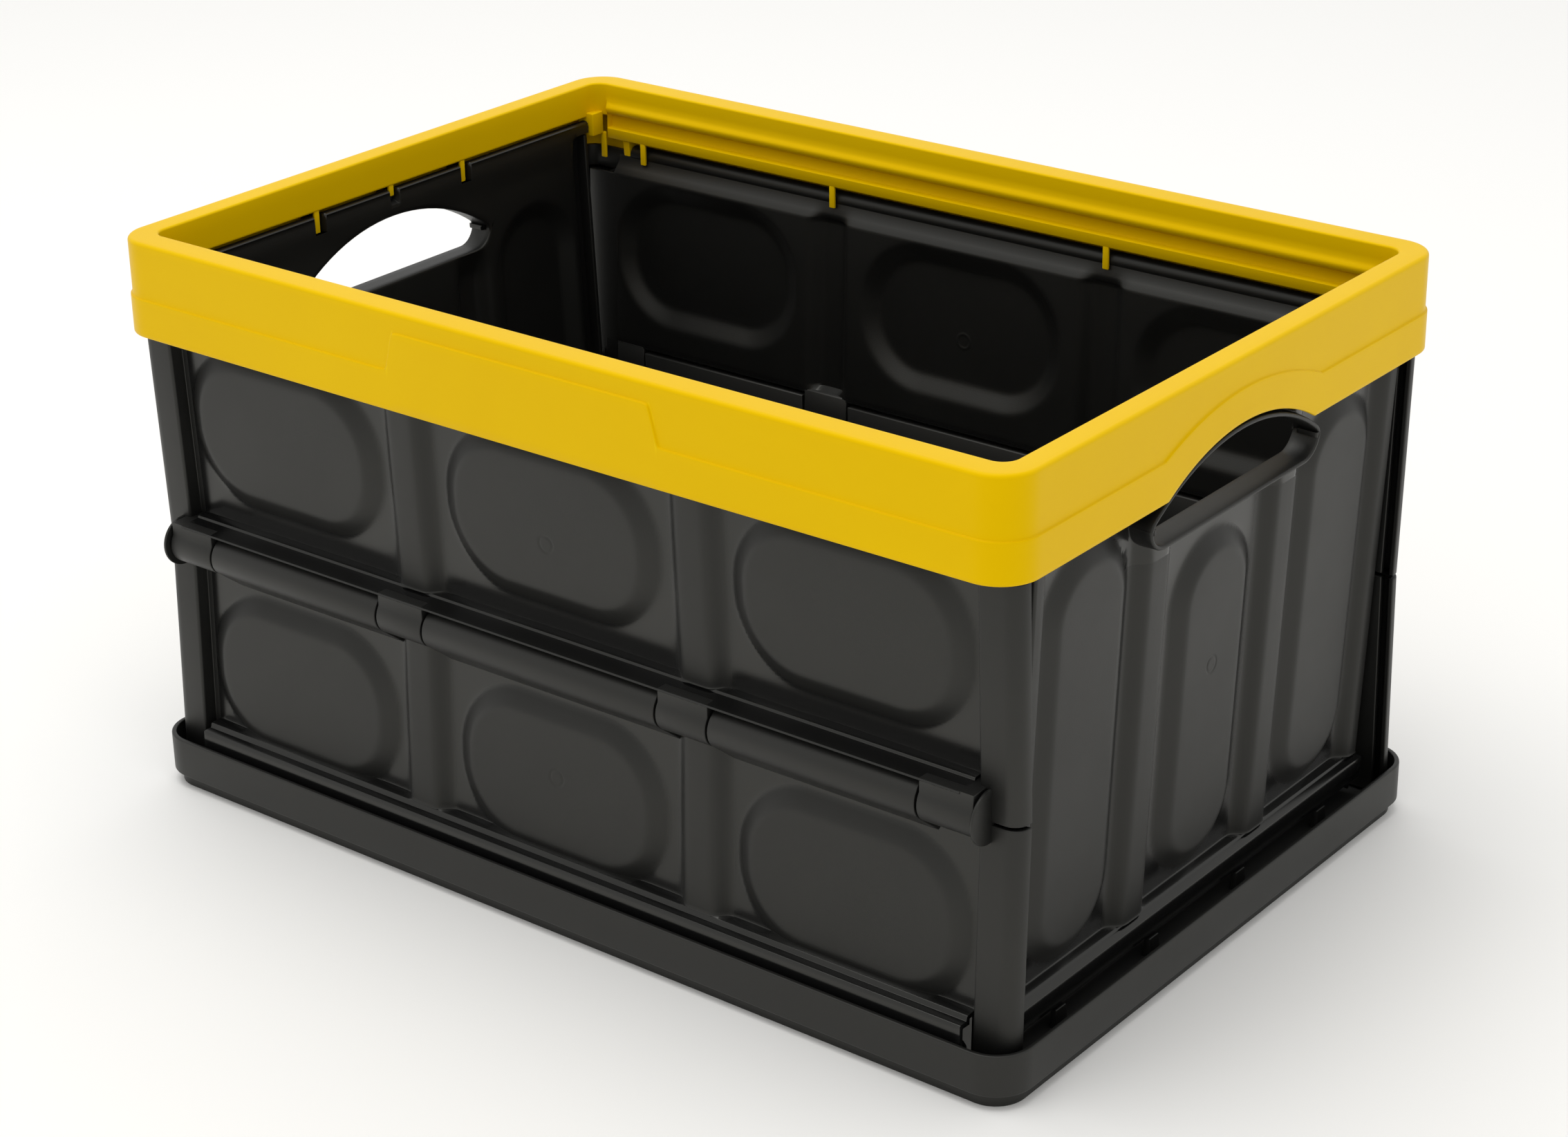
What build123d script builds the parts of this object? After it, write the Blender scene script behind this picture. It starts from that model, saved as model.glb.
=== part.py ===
from build123d import *
import math
import os

os.makedirs("parts", exist_ok=True)

# Overall size
HEIGHT = 300.0
WALL = 2.5                      # general moulding thickness
GAP = 1.2                       # visible gap between hinged pieces
LONG_SIDES = (-1, 1)
END_SIDES = (-1, 1)

# Rim
RIM_LENGTH = 534.6              # upper band, outside
RIM_WIDTH = 363.2
RIM_CORNER = 19.0
RIM_STEP_Z = 271.0              # where the proud lower band starts
RIM_BOTTOM_Z = 251.0
BAND_PROUD = 1.0
RIM_MOUTH_LENGTH = 508.8        # opening seen from above
RIM_MOUTH_WIDTH = 333.2
RIM_MOUTH_CORNER = 8.0
RIM_TOP_THICK = 2.5
RIM_EDGE_FILLET = 2.0
END_LIP_BOTTOM_Z = 281.5        # bottom of the rim's inner wall at the ends
PLAQUE_BOTTOM_HALF = 82.0
PLAQUE_TOP_HALF = 77.0
PLAQUE_TOP_Z = 290.4
ARCH_RADIUS = 122.0             # lower edge of the skirt over each handle
ARCH_PEAK_Z = 268.5
BAND_ARCH_RADIUS = 167.0        # upper edge of the proud band over each handle
BAND_ARCH_PEAK_Z = 285.0
FINGER_THICK = 1.6
FINGER_WIDTH = 3.6
FINGER_TIP_Z = 257.0
BRACKET_X = (249.8, 261.0)      # boxes in the corners that carry the end walls' pins
BRACKET_Y = (156.6, 165.6)
BRACKET_Z = (271.0, 284.0)
FINGER_XS = (-250.0, -221.0, -87.5, 87.5, 221.0, 250.0)
END_FINGERS = ((-55.0, 269.6), (0.0, 275.6), (55.0, 269.6))

# Base
BASE_LENGTH = 540.0
BASE_WIDTH = 366.0
BASE_CORNER = 20.0
LIP_TOP_Z = 28.2
LIP_BOTTOM_Z = 7.1
FLOOR_TOP_Z = 10.0
FOOT_LENGTH = 532.0
FOOT_WIDTH = 358.0
FOOT_CORNER = 16.0
FOOT_WALL = 3.0
UNDER_RIB = 2.0                 # thickness of the ribs under the floor
UNDER_RIB_BOTTOM_Z = 2.0
KEEPER_YS = (-117.0, -39.0, 39.0, 117.0)
KEEPER_X = 250.2
KEEPER_SIZE = (4.0, 8.0, 10.0)

# Long walls: two leaves on three hinge lines
FOLD_Z = 138.0                  # middle hinge line
TOP_HINGE_Z = 261.0
BASE_HINGE_Z = 15.0
OUTER_HINGE_Y = 171.7           # top and base hinge lines
FOLD_Y = 169.5                  # middle hinge line
WALL_LEAN = 2.05                # degrees that each leaf leans in towards the fold
AXIS_OUT = 9.2                  # fold line outside the web's face
FOLD_RADIUS = 10.5
FOLD_PIN_RADIUS = 3.0
FOLD_HEAD_RADIUS = 13.0
FOLD_HEAD_THICK = 1.5
FOLD_HEAD_X = 248.4
HINGE_RADIUS = 4.5
HINGE_PIN_RADIUS = 2.2
HINGE_END_X = 231.8             # ends of the top and base barrels
EAR_X = (232.5, 237.0)
SHORT_KNUCKLES = ((73.3, 102.3), (218.8, 247.2))
LONG_KNUCKLES = ((-72.1, 72.1), (103.5, 217.6), (-217.6, -103.5))
LONG_BLOCK_TOP_V = 9.5
LONG_BLOCK_FOOT_V = -20.0
HEAD_ROOM = (247.8, 252.6)       # span kept clear for a pin's disc head
HINGE_BORE = 11.0               # depth of the pin holes in the barrels
TIGHT = 0.02                    # radial room round a fixed pin
RUNNING = 0.06                  # radial room round a turning pin

WEB_HALF = 240.0
OVAL_XS = (-173.0, 0.0, 173.0)
OVAL_SIZE = (131.0, 85.0)
OVAL_CORNER = 40.0
OVAL_PROUD = 5.5
OVAL_SLOPE = 9.5                # width of the sloped border
UPPER_OVAL_V = 69.0             # centres, measured from the fold line
LOWER_OVAL_V = -64.5
RIB_XS = (-87.7, 87.7)
RIB_WIDTH = 28.0
RIB_PROUD = 6.7
RIB_CORNER = 6.0
UPPER_RIB_V = (13.4, 113.0)
LOWER_RIB_V = (-105.0, -11.6)
POST_OUTER_X = 264.3
POST_ROOT_X = 238.0
POST_PROUD = 7.6
# Section of a post: outside from its root round its corner, then back along the cavity
POST_SECTION = (
    (POST_ROOT_X, 0.0),
    (243.2, 0.0),
    (243.6, 6.4),
    (245.2, POST_PROUD),
    (256.3, POST_PROUD),
    (259.4, 7.0),
    (262.0, 5.3),
    (263.7, 2.7),
    (POST_OUTER_X, -0.4),
    (POST_OUTER_X, -2.0),
    (POST_OUTER_X - WALL, -2.0),
    (POST_OUTER_X - WALL, -0.4),
    (260.2, 3.5),
    (256.3, POST_PROUD - WALL),
    (246.4, POST_PROUD - WALL),
    (245.8, 0.0),
    (258.0, 0.0),
    (258.0, -WALL),
    (POST_ROOT_X, -WALL),
)
UPPER_WEB = (11.5, 112.5)
LOWER_WEB = (-101.0, -11.6)
UPPER_POST = (-3.4, 112.0)
POST_NECK = (110.0, 124.0)      # the posts' outer skin goes on up inside the rim
NECK_SECTION = (
    (238.2, POST_PROUD - WALL),
    (238.2, POST_PROUD),
    (256.3, POST_PROUD),
    (259.4, 7.0),
    (262.0, 5.3),
    (263.7, 2.7),
    (POST_OUTER_X, -0.4),
    (POST_OUTER_X, -2.0),
    (POST_OUTER_X - WALL, -2.0),
    (POST_OUTER_X - WALL, -0.4),
    (260.2, 3.5),
    (256.3, POST_PROUD - WALL),
)
LOWER_POST = (-126.0, -4.6)
KNUCKLE_ROOM = 0.9              # radial room round a knuckle of the other leaf
KNUCKLE_SIDE_ROOM = 0.6
SEAT_TOP_V = -6.9               # top of the lower web behind a short knuckle
# Section of the upper leaf's flange: it slopes out from the web to the top barrel
FLANGE = ((-WALL, 112.0), (0.0, 110.9), (6.2, 118.0), (7.0, 122.0), (3.0, 122.0), (2.6, 118.2))
UPPER_RAIL = ((-WALL, 11.6), (17.6, 11.6), (17.6, 13.2), (9.0, 13.6), (9.0, 15.0), (-WALL, 15.0))
SHORT_BLOCK = ((-WALL, -5.5), (AXIS_OUT, -5.5), (17.6, 0.0), (17.6, 13.2), (-WALL, 13.2))
# Section of the lower leaf's foot rail: two treads and a lip
LOWER_RAIL = (
    (-WALL, -103.5),
    (4.5, -103.5),
    (4.5, -106.5),
    (9.6, -106.5),
    (9.6, -121.0),
    (12.0, -121.0),
    (12.0, -104.0),
    (6.5, -104.0),
    (6.5, -101.0),
    (-WALL, -101.0),
)
# Section of the seat behind a short knuckle
SEAT = (
    (-WALL, SEAT_TOP_V),
    (0.0, SEAT_TOP_V),
    (5.0, -10.6),
    (5.0, -12.5),
    (0.0, -14.0),
    (-WALL, -14.0),
)

# End walls: one leaf each, hung from the rim
PIVOT_X = 255.2
PIVOT_Z = 276.0
PIVOT_BEHIND = 1.0              # pivot line behind the web's outer face
END_LEAN = 2.58                 # degrees, foot leaning inward
END_HALF_WIDTH = 155.3
END_FOOT_V = -264.3
PIVOT_RADIUS = 4.0
END_PIN_RADIUS = 2.0
END_OVAL_YS = (-107.0, 107.0)
END_OVAL_WIDTH = 68.0
END_OVAL_V = (-237.0, -31.0)
MIDDLE_OVAL_V = (-237.0, -62.0)
END_RIB_YS = (-55.0, 55.0)
END_RIB_V = (-240.0, -6.0)
# Section of an end wall's foot rail: two treads and a lip
END_FOOT_RAIL = (
    (0.0, -240.2),
    (4.8, -240.4),
    (5.0, -241.9),
    (9.4, -242.1),
    (9.4, -254.0),
    (7.0, -254.0),
    (7.0, -244.2),
    (0.0, -244.2),
)
EDGE_RIB_ROOT = 141.3           # the ribs along both side edges start here
EDGE_RIB_SLOPE = 5.5
EDGE_RIB_CORNER = 2.0
BARREL_FLAT = 2.9               # flat cut on the barrel, inside the pivot line
END_FINGER_ROOM = 8.6
GRIP_HALF = 71.0
GRIP_BOTTOM_V = -46.0
GRIP_TOP_V = -11.0
GRIP_END_RADIUS = 11.0
COLLAR_OUT = 11.5
COLLAR_WALL = 2.2


def slab(height, length, width, corner):
    """Rounded rectangle on a level plane."""
    with BuildSketch(Plane.XY.offset(height)) as outline:
        RectangleRounded(length, width, corner)
    return outline.sketch


def polygon_on(plane, points):
    """Closed polygon given in a plane's own coordinates."""
    with BuildSketch(plane) as outline:
        Polygon(*points, align=None)
    return outline.sketch


def rounded_on(plane, centre, size, corner):
    """Rounded rectangle centred at a point of a plane."""
    with BuildSketch(plane) as outline:
        with Locations(centre):
            RectangleRounded(size[0], size[1], corner)
    return outline.sketch


def disc_on(plane, centre, radius):
    """Circle centred at a point of a plane."""
    with BuildSketch(plane) as outline:
        with Locations(centre):
            Circle(radius)
    return outline.sketch


def across(x):
    """Plane at x whose own axes are Y and Z, facing +X."""
    return Plane(origin=(x, 0, 0), x_dir=(0, 1, 0), z_dir=(1, 0, 0))


def along(y):
    """Plane at y whose own axes are X and Z, facing -Y."""
    return Plane(origin=(0, y, 0), x_dir=(1, 0, 0), z_dir=(0, -1, 0))


def leaf_planes(anchor, outward, lean, setback):
    """Face plane and section plane of a leaning leaf, anchored on its hinge line."""
    turn = math.radians(lean)
    normal = outward * math.cos(turn) - Vector(0, 0, 1) * math.sin(turn)
    rise = outward * math.sin(turn) + Vector(0, 0, 1) * math.cos(turn)
    origin = anchor - normal * setback
    face = Plane(origin=origin, x_dir=rise.cross(normal), z_dir=normal)
    section = Plane(origin=origin, x_dir=normal, z_dir=normal.cross(rise))
    return face, section


def long_leaf_planes(side, hinge_z):
    """Planes of a long wall's leaf that runs from the fold line to another hinge."""
    lean = WALL_LEAN if hinge_z > FOLD_Z else -WALL_LEAN
    anchor = Vector(0, side * FOLD_Y, FOLD_Z)
    return leaf_planes(anchor, Vector(0, side, 0), lean, AXIS_OUT)


def bar(section, points, start, end, mode=Mode.ADD):
    """Prism of a section between two stations along the section's normal."""
    extrude(polygon_on(section.offset(start), points), amount=end - start, mode=mode)


def oval_boss(face, centre, size, corner):
    """Soft-edged oval pushed outward from a web and hollow from behind."""
    top = (size[0] - 2 * OVAL_SLOPE, size[1] - 2 * OVAL_SLOPE)
    skin = WALL * 0.8
    root = rounded_on(face, centre, size, corner)
    crown = rounded_on(face.offset(OVAL_PROUD), centre, top, corner - OVAL_SLOPE)
    loft(sections=[root, crown], ruled=True)
    deep = (size[0] - 2 * skin, size[1] - 2 * skin)
    deep_top = (top[0] - skin, top[1] - skin)
    hollow = rounded_on(face.offset(-WALL), centre, deep, corner - skin)
    hollow_top = rounded_on(face.offset(OVAL_PROUD - WALL), centre, deep_top, corner - OVAL_SLOPE - 1)
    loft(sections=[hollow, hollow_top], ruled=True, mode=Mode.SUBTRACT)


def rib(face, centre_u, low, high):
    """Rounded upright rib, hollow from behind."""
    centre = (centre_u, (low + high) / 2)
    span = high - low
    root = rounded_on(face, centre, (RIB_WIDTH, span), RIB_CORNER)
    crown = rounded_on(face.offset(RIB_PROUD), centre, (RIB_WIDTH - 12, span - 4), RIB_CORNER - 2)
    loft(sections=[root, crown], ruled=True)
    hollow = rounded_on(
        face.offset(-WALL), centre, (RIB_WIDTH - 2 * WALL, span - 2 * WALL), RIB_CORNER - WALL
    )
    hollow_top = rounded_on(
        face.offset(RIB_PROUD - WALL), centre, (RIB_WIDTH - 14, span - 8), RIB_CORNER - 3
    )
    loft(sections=[hollow, hollow_top], ruled=True, mode=Mode.SUBTRACT)


def corner_posts(face, outline, low, high):
    """Upright lengths of a post's section at both ends of a leaf."""
    for mirror_sign in END_SIDES:
        level = Plane(
            origin=face.origin + face.y_dir * low,
            x_dir=face.x_dir * mirror_sign,
            z_dir=face.y_dir,
        )
        outward = face.z_dir.dot(level.y_dir)
        points = tuple((u, w * outward) for u, w in outline)
        extrude(polygon_on(level, points), amount=high - low)


def knuckles(side, spans, mode=Mode.ADD, radius=FOLD_RADIUS):
    """Round knuckles on the fold line."""
    for start, end in spans:
        circle = disc_on(across(start), (side * FOLD_Y, FOLD_Z), radius)
        extrude(circle, amount=end - start, mode=mode)


def both_ends(spans):
    """Spans and their mirror images."""
    return tuple(spans) + tuple((-end, -start) for start, end in spans)


def widened(spans):
    """Spans with the side room for another leaf's knuckles."""
    return tuple((start - KNUCKLE_SIDE_ROOM, end + KNUCKLE_SIDE_ROOM) for start, end in spans)


def bore_x(centre, radius, start, end):
    """Round hole parallel to X."""
    extrude(disc_on(across(start), centre, radius), amount=end - start, mode=Mode.SUBTRACT)


def bore_y(centre, radius, start, end):
    """Round hole parallel to Y."""
    extrude(disc_on(along(end), centre, radius), amount=end - start, mode=Mode.SUBTRACT)


def upper_leaf(side):
    """Upper leaf of a long wall."""
    face, section = long_leaf_planes(side, TOP_HINGE_Z)
    web_low, web_high = UPPER_WEB
    bar(section, ((-WALL, web_low), (0, web_low), (0, web_high), (-WALL, web_high)), -WEB_HALF, WEB_HALF)
    bar(section, UPPER_RAIL, -WEB_HALF, WEB_HALF)
    bar(section, FLANGE, -HINGE_END_X, HINGE_END_X)
    top_line = (side * OUTER_HINGE_Y, TOP_HINGE_Z)
    extrude(disc_on(across(-HINGE_END_X), top_line, HINGE_RADIUS), amount=2 * HINGE_END_X)
    corner_posts(face, POST_SECTION, *UPPER_POST)
    corner_posts(face, NECK_SECTION, *POST_NECK)
    for centre_x in OVAL_XS:
        oval_boss(face, (centre_x, UPPER_OVAL_V), OVAL_SIZE, OVAL_CORNER)
    for centre_x in RIB_XS:
        rib(face, centre_x, *UPPER_RIB_V)
    for start, end in both_ends(SHORT_KNUCKLES):
        bar(section, SHORT_BLOCK, start, end)
    knuckles(side, both_ends(SHORT_KNUCKLES))
    knuckles(side, widened(LONG_KNUCKLES), Mode.SUBTRACT, FOLD_RADIUS + KNUCKLE_ROOM)
    knuckles(side, both_ends((HEAD_ROOM,)), Mode.SUBTRACT, FOLD_HEAD_RADIUS + KNUCKLE_SIDE_ROOM)
    bore_x((side * FOLD_Y, FOLD_Z), FOLD_PIN_RADIUS + TIGHT, -FOLD_HEAD_X, FOLD_HEAD_X)
    for start, end in both_ends(((HINGE_END_X - HINGE_BORE, HINGE_END_X),)):
        bore_x(top_line, HINGE_PIN_RADIUS + TIGHT, start, end)


def lower_leaf(side):
    """Lower leaf of a long wall."""
    face, section = long_leaf_planes(side, BASE_HINGE_Z)
    web_low, web_high = LOWER_WEB
    bar(section, ((-WALL, web_low), (0, web_low), (0, web_high), (-WALL, web_high)), -WEB_HALF, WEB_HALF)
    bar(section, LOWER_RAIL, -HINGE_END_X, HINGE_END_X)
    base_line = (side * OUTER_HINGE_Y, BASE_HINGE_Z)
    extrude(disc_on(across(-HINGE_END_X), base_line, HINGE_RADIUS), amount=2 * HINGE_END_X)
    corner_posts(face, POST_SECTION, *LOWER_POST)
    for centre_x in OVAL_XS:
        oval_boss(face, (centre_x, LOWER_OVAL_V), OVAL_SIZE, OVAL_CORNER)
    for centre_x in RIB_XS:
        rib(face, centre_x, *LOWER_RIB_V)
    for start, end in both_ends(SHORT_KNUCKLES):
        bar(section, SEAT, start, end)
    reach = math.hypot(AXIS_OUT, LONG_BLOCK_FOOT_V)
    touch = math.atan2(LONG_BLOCK_FOOT_V, -AXIS_OUT) + math.acos(FOLD_RADIUS / reach)
    touch_point = (AXIS_OUT + FOLD_RADIUS * math.cos(touch), FOLD_RADIUS * math.sin(touch))
    long_block = (
        (-WALL, LONG_BLOCK_TOP_V),
        (AXIS_OUT, LONG_BLOCK_TOP_V),
        (AXIS_OUT, 0),
        touch_point,
        (0, LONG_BLOCK_FOOT_V),
        (-WALL, LONG_BLOCK_FOOT_V),
    )
    for start, end in LONG_KNUCKLES:
        bar(section, long_block, start, end)
    knuckles(side, LONG_KNUCKLES)
    short_room = widened(both_ends(SHORT_KNUCKLES))
    knuckles(side, short_room, Mode.SUBTRACT, FOLD_RADIUS + KNUCKLE_ROOM)
    for start, end in short_room:
        room = (
            (-AXIS_OUT, SEAT_TOP_V),
            (AXIS_OUT, SEAT_TOP_V),
            (AXIS_OUT, WALL),
            (-AXIS_OUT, WALL),
        )
        bar(section, room, start, end, Mode.SUBTRACT)
    knuckles(side, both_ends((HEAD_ROOM,)), Mode.SUBTRACT, FOLD_HEAD_RADIUS + KNUCKLE_SIDE_ROOM)
    bore_x((side * FOLD_Y, FOLD_Z), FOLD_PIN_RADIUS + RUNNING, -FOLD_HEAD_X, FOLD_HEAD_X)
    for start, end in both_ends(((HINGE_END_X - HINGE_BORE, HINGE_END_X),)):
        bore_x(base_line, HINGE_PIN_RADIUS + TIGHT, start, end)


# The four leaves of the long walls
with BuildPart() as front_upper_panel:
    upper_leaf(-1)

with BuildPart() as front_lower_panel:
    lower_leaf(-1)

with BuildPart() as rear_upper_panel:
    upper_leaf(1)

with BuildPart() as rear_lower_panel:
    lower_leaf(1)


def grip_outline(face, grow):
    """Arched grip opening with a flat sill and rounded ends."""
    half = GRIP_HALF + grow
    low = GRIP_BOTTOM_V - grow
    high = GRIP_TOP_V + grow
    shoulder = low + GRIP_END_RADIUS + grow
    with BuildSketch(face) as outline:
        with BuildLine():
            sill = Line((-half + GRIP_END_RADIUS, low), (half - GRIP_END_RADIUS, low))
            right = TangentArc(sill @ 1, (half, shoulder), tangent=(1, 0))
            crown = ThreePointArc(right @ 1, (0, high), (-half, shoulder))
            TangentArc(sill @ 0, crown @ 1, tangent=(-1, 0))
        make_face()
    return outline.sketch


def edge_rib(face, low, high):
    """Half ribs along both side edges of an end wall, hollow from behind."""
    crest = EDGE_RIB_ROOT + EDGE_RIB_SLOPE
    outside = (
        (EDGE_RIB_ROOT, 0.0),
        (crest, RIB_PROUD),
        (END_HALF_WIDTH - EDGE_RIB_CORNER, RIB_PROUD),
        (END_HALF_WIDTH, RIB_PROUD - EDGE_RIB_CORNER),
        (END_HALF_WIDTH, -WALL),
        (EDGE_RIB_ROOT, -WALL),
    )
    hollow = (
        (EDGE_RIB_ROOT + WALL, -2 * WALL),
        (crest + WALL / 2, RIB_PROUD - WALL),
        (END_HALF_WIDTH - WALL, RIB_PROUD - WALL),
        (END_HALF_WIDTH - WALL, -2 * WALL),
    )
    for mirror_sign in END_SIDES:
        level = Plane(
            origin=face.origin + face.y_dir * low,
            x_dir=face.x_dir * mirror_sign,
            z_dir=face.y_dir,
        )
        outward = face.z_dir.dot(level.y_dir)
        span = high - low
        extrude(polygon_on(level, [(u, w * outward) for u, w in outside]), amount=span)
        extrude(
            polygon_on(level.offset(WALL), [(u, w * outward) for u, w in hollow]),
            amount=span - 2 * WALL,
            mode=Mode.SUBTRACT,
        )


def end_leaf(side):
    """End wall that swings inward on the rim."""
    anchor = Vector(side * PIVOT_X, 0, PIVOT_Z)
    face, section = leaf_planes(anchor, Vector(side, 0, 0), END_LEAN, -PIVOT_BEHIND)
    extrude(
        polygon_on(
            face.offset(-WALL),
            (
                (-END_HALF_WIDTH, END_FOOT_V),
                (END_HALF_WIDTH, END_FOOT_V),
                (END_HALF_WIDTH, 0),
                (-END_HALF_WIDTH, 0),
            ),
        ),
        amount=WALL,
    )
    barrel = disc_on(along(END_HALF_WIDTH), (side * PIVOT_X, PIVOT_Z), PIVOT_RADIUS)
    extrude(barrel, amount=2 * END_HALF_WIDTH)
    inner = -PIVOT_BEHIND - BARREL_FLAT
    flat = ((inner - 5.0, -5.0), (inner, -5.0), (inner, 5.0), (inner - 5.0, 5.0))
    bar(section, flat, -END_HALF_WIDTH, END_HALF_WIDTH, Mode.SUBTRACT)
    bar(section, END_FOOT_RAIL, -END_HALF_WIDTH, END_HALF_WIDTH)
    edge_rib(face, *END_RIB_V)
    low, high = END_OVAL_V
    for centre_y in END_OVAL_YS:
        oval_boss(face, (centre_y, (low + high) / 2), (END_OVAL_WIDTH, high - low), END_OVAL_WIDTH / 2 - 0.5)
    low, high = MIDDLE_OVAL_V
    oval_boss(face, (0, (low + high) / 2), (END_OVAL_WIDTH, high - low), END_OVAL_WIDTH / 2 - 0.5)
    for centre_y in END_RIB_YS:
        rib(face, centre_y, *END_RIB_V)
    extrude(grip_outline(face.offset(-WALL), COLLAR_WALL), amount=WALL + COLLAR_OUT)
    extrude(grip_outline(face.offset(-WALL - 1), 0), amount=COLLAR_OUT + WALL + 2, mode=Mode.SUBTRACT)
    for finger_y, _ in END_FINGERS:
        room = disc_on(along(finger_y + FINGER_WIDTH), (side * PIVOT_X, PIVOT_Z), END_FINGER_ROOM)
        extrude(room, amount=2 * FINGER_WIDTH, mode=Mode.SUBTRACT)
    for start, end in both_ends(((END_HALF_WIDTH - 13, END_HALF_WIDTH),)):
        bore_y((side * PIVOT_X, PIVOT_Z), END_PIN_RADIUS + TIGHT, start, end)


with BuildPart() as left_end_panel:
    end_leaf(-1)

with BuildPart() as right_end_panel:
    end_leaf(1)

# Rim: one moulding
with BuildPart() as top_rim:
    extrude(slab(RIM_STEP_Z - 1, RIM_LENGTH, RIM_WIDTH, RIM_CORNER), amount=HEIGHT - RIM_STEP_Z + 1)
    fillet(faces().sort_by(Axis.Z)[-1].edges(), RIM_EDGE_FILLET)
    extrude(
        slab(RIM_BOTTOM_Z, RIM_LENGTH + 2 * BAND_PROUD, RIM_WIDTH + 2 * BAND_PROUD, RIM_CORNER + BAND_PROUD),
        amount=RIM_STEP_Z - RIM_BOTTOM_Z,
    )
    plaque = (
        (-PLAQUE_BOTTOM_HALF, RIM_STEP_Z - 1),
        (PLAQUE_BOTTOM_HALF, RIM_STEP_Z - 1),
        (PLAQUE_TOP_HALF, PLAQUE_TOP_Z),
        (-PLAQUE_TOP_HALF, PLAQUE_TOP_Z),
    )
    extrude(polygon_on(along(RIM_WIDTH / 2 + BAND_PROUD), plaque), amount=RIM_WIDTH + 2 * BAND_PROUD)
    half_rim = RIM_LENGTH / 2 + BAND_PROUD
    with BuildSketch(across(-half_rim)) as band_arch:
        with Locations((0, BAND_ARCH_PEAK_Z - BAND_ARCH_RADIUS)):
            Circle(BAND_ARCH_RADIUS)
        with Locations((0, RIM_STEP_Z - 1 + 50)):
            Rectangle(4 * RIM_WIDTH, 100, mode=Mode.INTERSECT)
    extrude(amount=2 * half_rim)
    room_z = HEIGHT - RIM_TOP_THICK
    extrude(
        slab(RIM_BOTTOM_Z - 1, RIM_LENGTH - 2 * WALL, RIM_WIDTH - 2 * WALL, RIM_CORNER - WALL),
        amount=room_z - RIM_BOTTOM_Z + 1,
        mode=Mode.SUBTRACT,
    )
    mouth_wall = slab(
        END_LIP_BOTTOM_Z,
        RIM_MOUTH_LENGTH + 2 * WALL,
        RIM_MOUTH_WIDTH + 2 * WALL,
        RIM_MOUTH_CORNER + WALL,
    )
    extrude(mouth_wall, amount=room_z - END_LIP_BOTTOM_Z)
    for side in LONG_SIDES:
        ledge = (
            (side * 166.0, 290.0),
            (side * 165.0, 287.6),
            (side * 164.2, 286.0),
            (side * 165.0, 284.0),
            (side * 166.6, 282.4),
            (side * 169.4, 282.2),
            (side * 169.4, 275.2),
            (side * 165.1, 275.0),
            (side * 165.1, 269.0),
            (side * 168.8, 269.0),
            (side * 172.0, 272.5),
            (side * 172.0, 285.0),
            (side * 169.1, 288.0),
            (side * 169.1, 290.0),
        )
        extrude(polygon_on(across(-252.0), ledge), amount=504.0)
        for finger_x in FINGER_XS:
            finger = (
                (side * 165.2, FINGER_TIP_Z),
                (side * (165.2 + FINGER_THICK), FINGER_TIP_Z),
                (side * (165.2 + FINGER_THICK), 270.0),
                (side * 165.2, 270.0),
            )
            extrude(polygon_on(across(finger_x - FINGER_WIDTH / 2), finger), amount=FINGER_WIDTH)
        for ear_side in END_SIDES:
            start = min(ear_side * EAR_X[0], ear_side * EAR_X[1])
            ear = (
                (side * 173.0, 298.0),
                (side * 179.2, 298.0),
                (side * 179.2, 258.0),
                (side * 173.5, 255.2),
                (side * 168.0, 256.0),
                (side * 167.0, 269.5),
                (side * 173.0, 273.0),
            )
            extrude(polygon_on(across(start), ear), amount=EAR_X[1] - EAR_X[0])
    extrude(
        slab(290.0, RIM_MOUTH_LENGTH, RIM_MOUTH_WIDTH, RIM_MOUTH_CORNER), amount=20, mode=Mode.SUBTRACT
    )
    extrude(
        slab(END_LIP_BOTTOM_Z - 1, RIM_MOUTH_LENGTH, 2 * 164.0, RIM_MOUTH_CORNER),
        amount=20,
        mode=Mode.SUBTRACT,
    )
    for end_side in END_SIDES:
        for side in LONG_SIDES:
            bracket = (
                (end_side * BRACKET_X[0], BRACKET_Z[0]),
                (end_side * BRACKET_X[1], BRACKET_Z[0]),
                (end_side * BRACKET_X[1], BRACKET_Z[1]),
                (end_side * BRACKET_X[0], BRACKET_Z[1]),
            )
            near_y = BRACKET_Y[1] if side > 0 else -BRACKET_Y[0]
            extrude(polygon_on(along(near_y), bracket), amount=BRACKET_Y[1] - BRACKET_Y[0])
        for finger_y, tip_z in END_FINGERS:
            finger = (
                (end_side * 254.8, tip_z),
                (end_side * (254.8 + FINGER_THICK), tip_z),
                (end_side * (254.8 + FINGER_THICK), END_LIP_BOTTOM_Z + 1),
                (end_side * 254.8, END_LIP_BOTTOM_Z + 1),
            )
            extrude(polygon_on(along(finger_y + FINGER_WIDTH / 2), finger), amount=FINGER_WIDTH)
        for start, end in both_ends(((156.0, 166.0),)):
            bore_y((end_side * PIVOT_X, PIVOT_Z), END_PIN_RADIUS + RUNNING, start, end)
    for start in (-half_rim - 1, half_rim - 7):
        with BuildSketch(across(start)) as handle_arch:
            with Locations((0, ARCH_PEAK_Z - ARCH_RADIUS)):
                Circle(ARCH_RADIUS)
            with Locations((0, RIM_BOTTOM_Z + 49)):
                Rectangle(150.0, 100, mode=Mode.INTERSECT)
        extrude(amount=8.0, mode=Mode.SUBTRACT)
    for side in LONG_SIDES:
        top_line = (side * OUTER_HINGE_Y, TOP_HINGE_Z)
        bore_x(top_line, HINGE_PIN_RADIUS + TIGHT, -EAR_X[1], -EAR_X[0])
        bore_x(top_line, HINGE_PIN_RADIUS + TIGHT, EAR_X[0], EAR_X[1])

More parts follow.
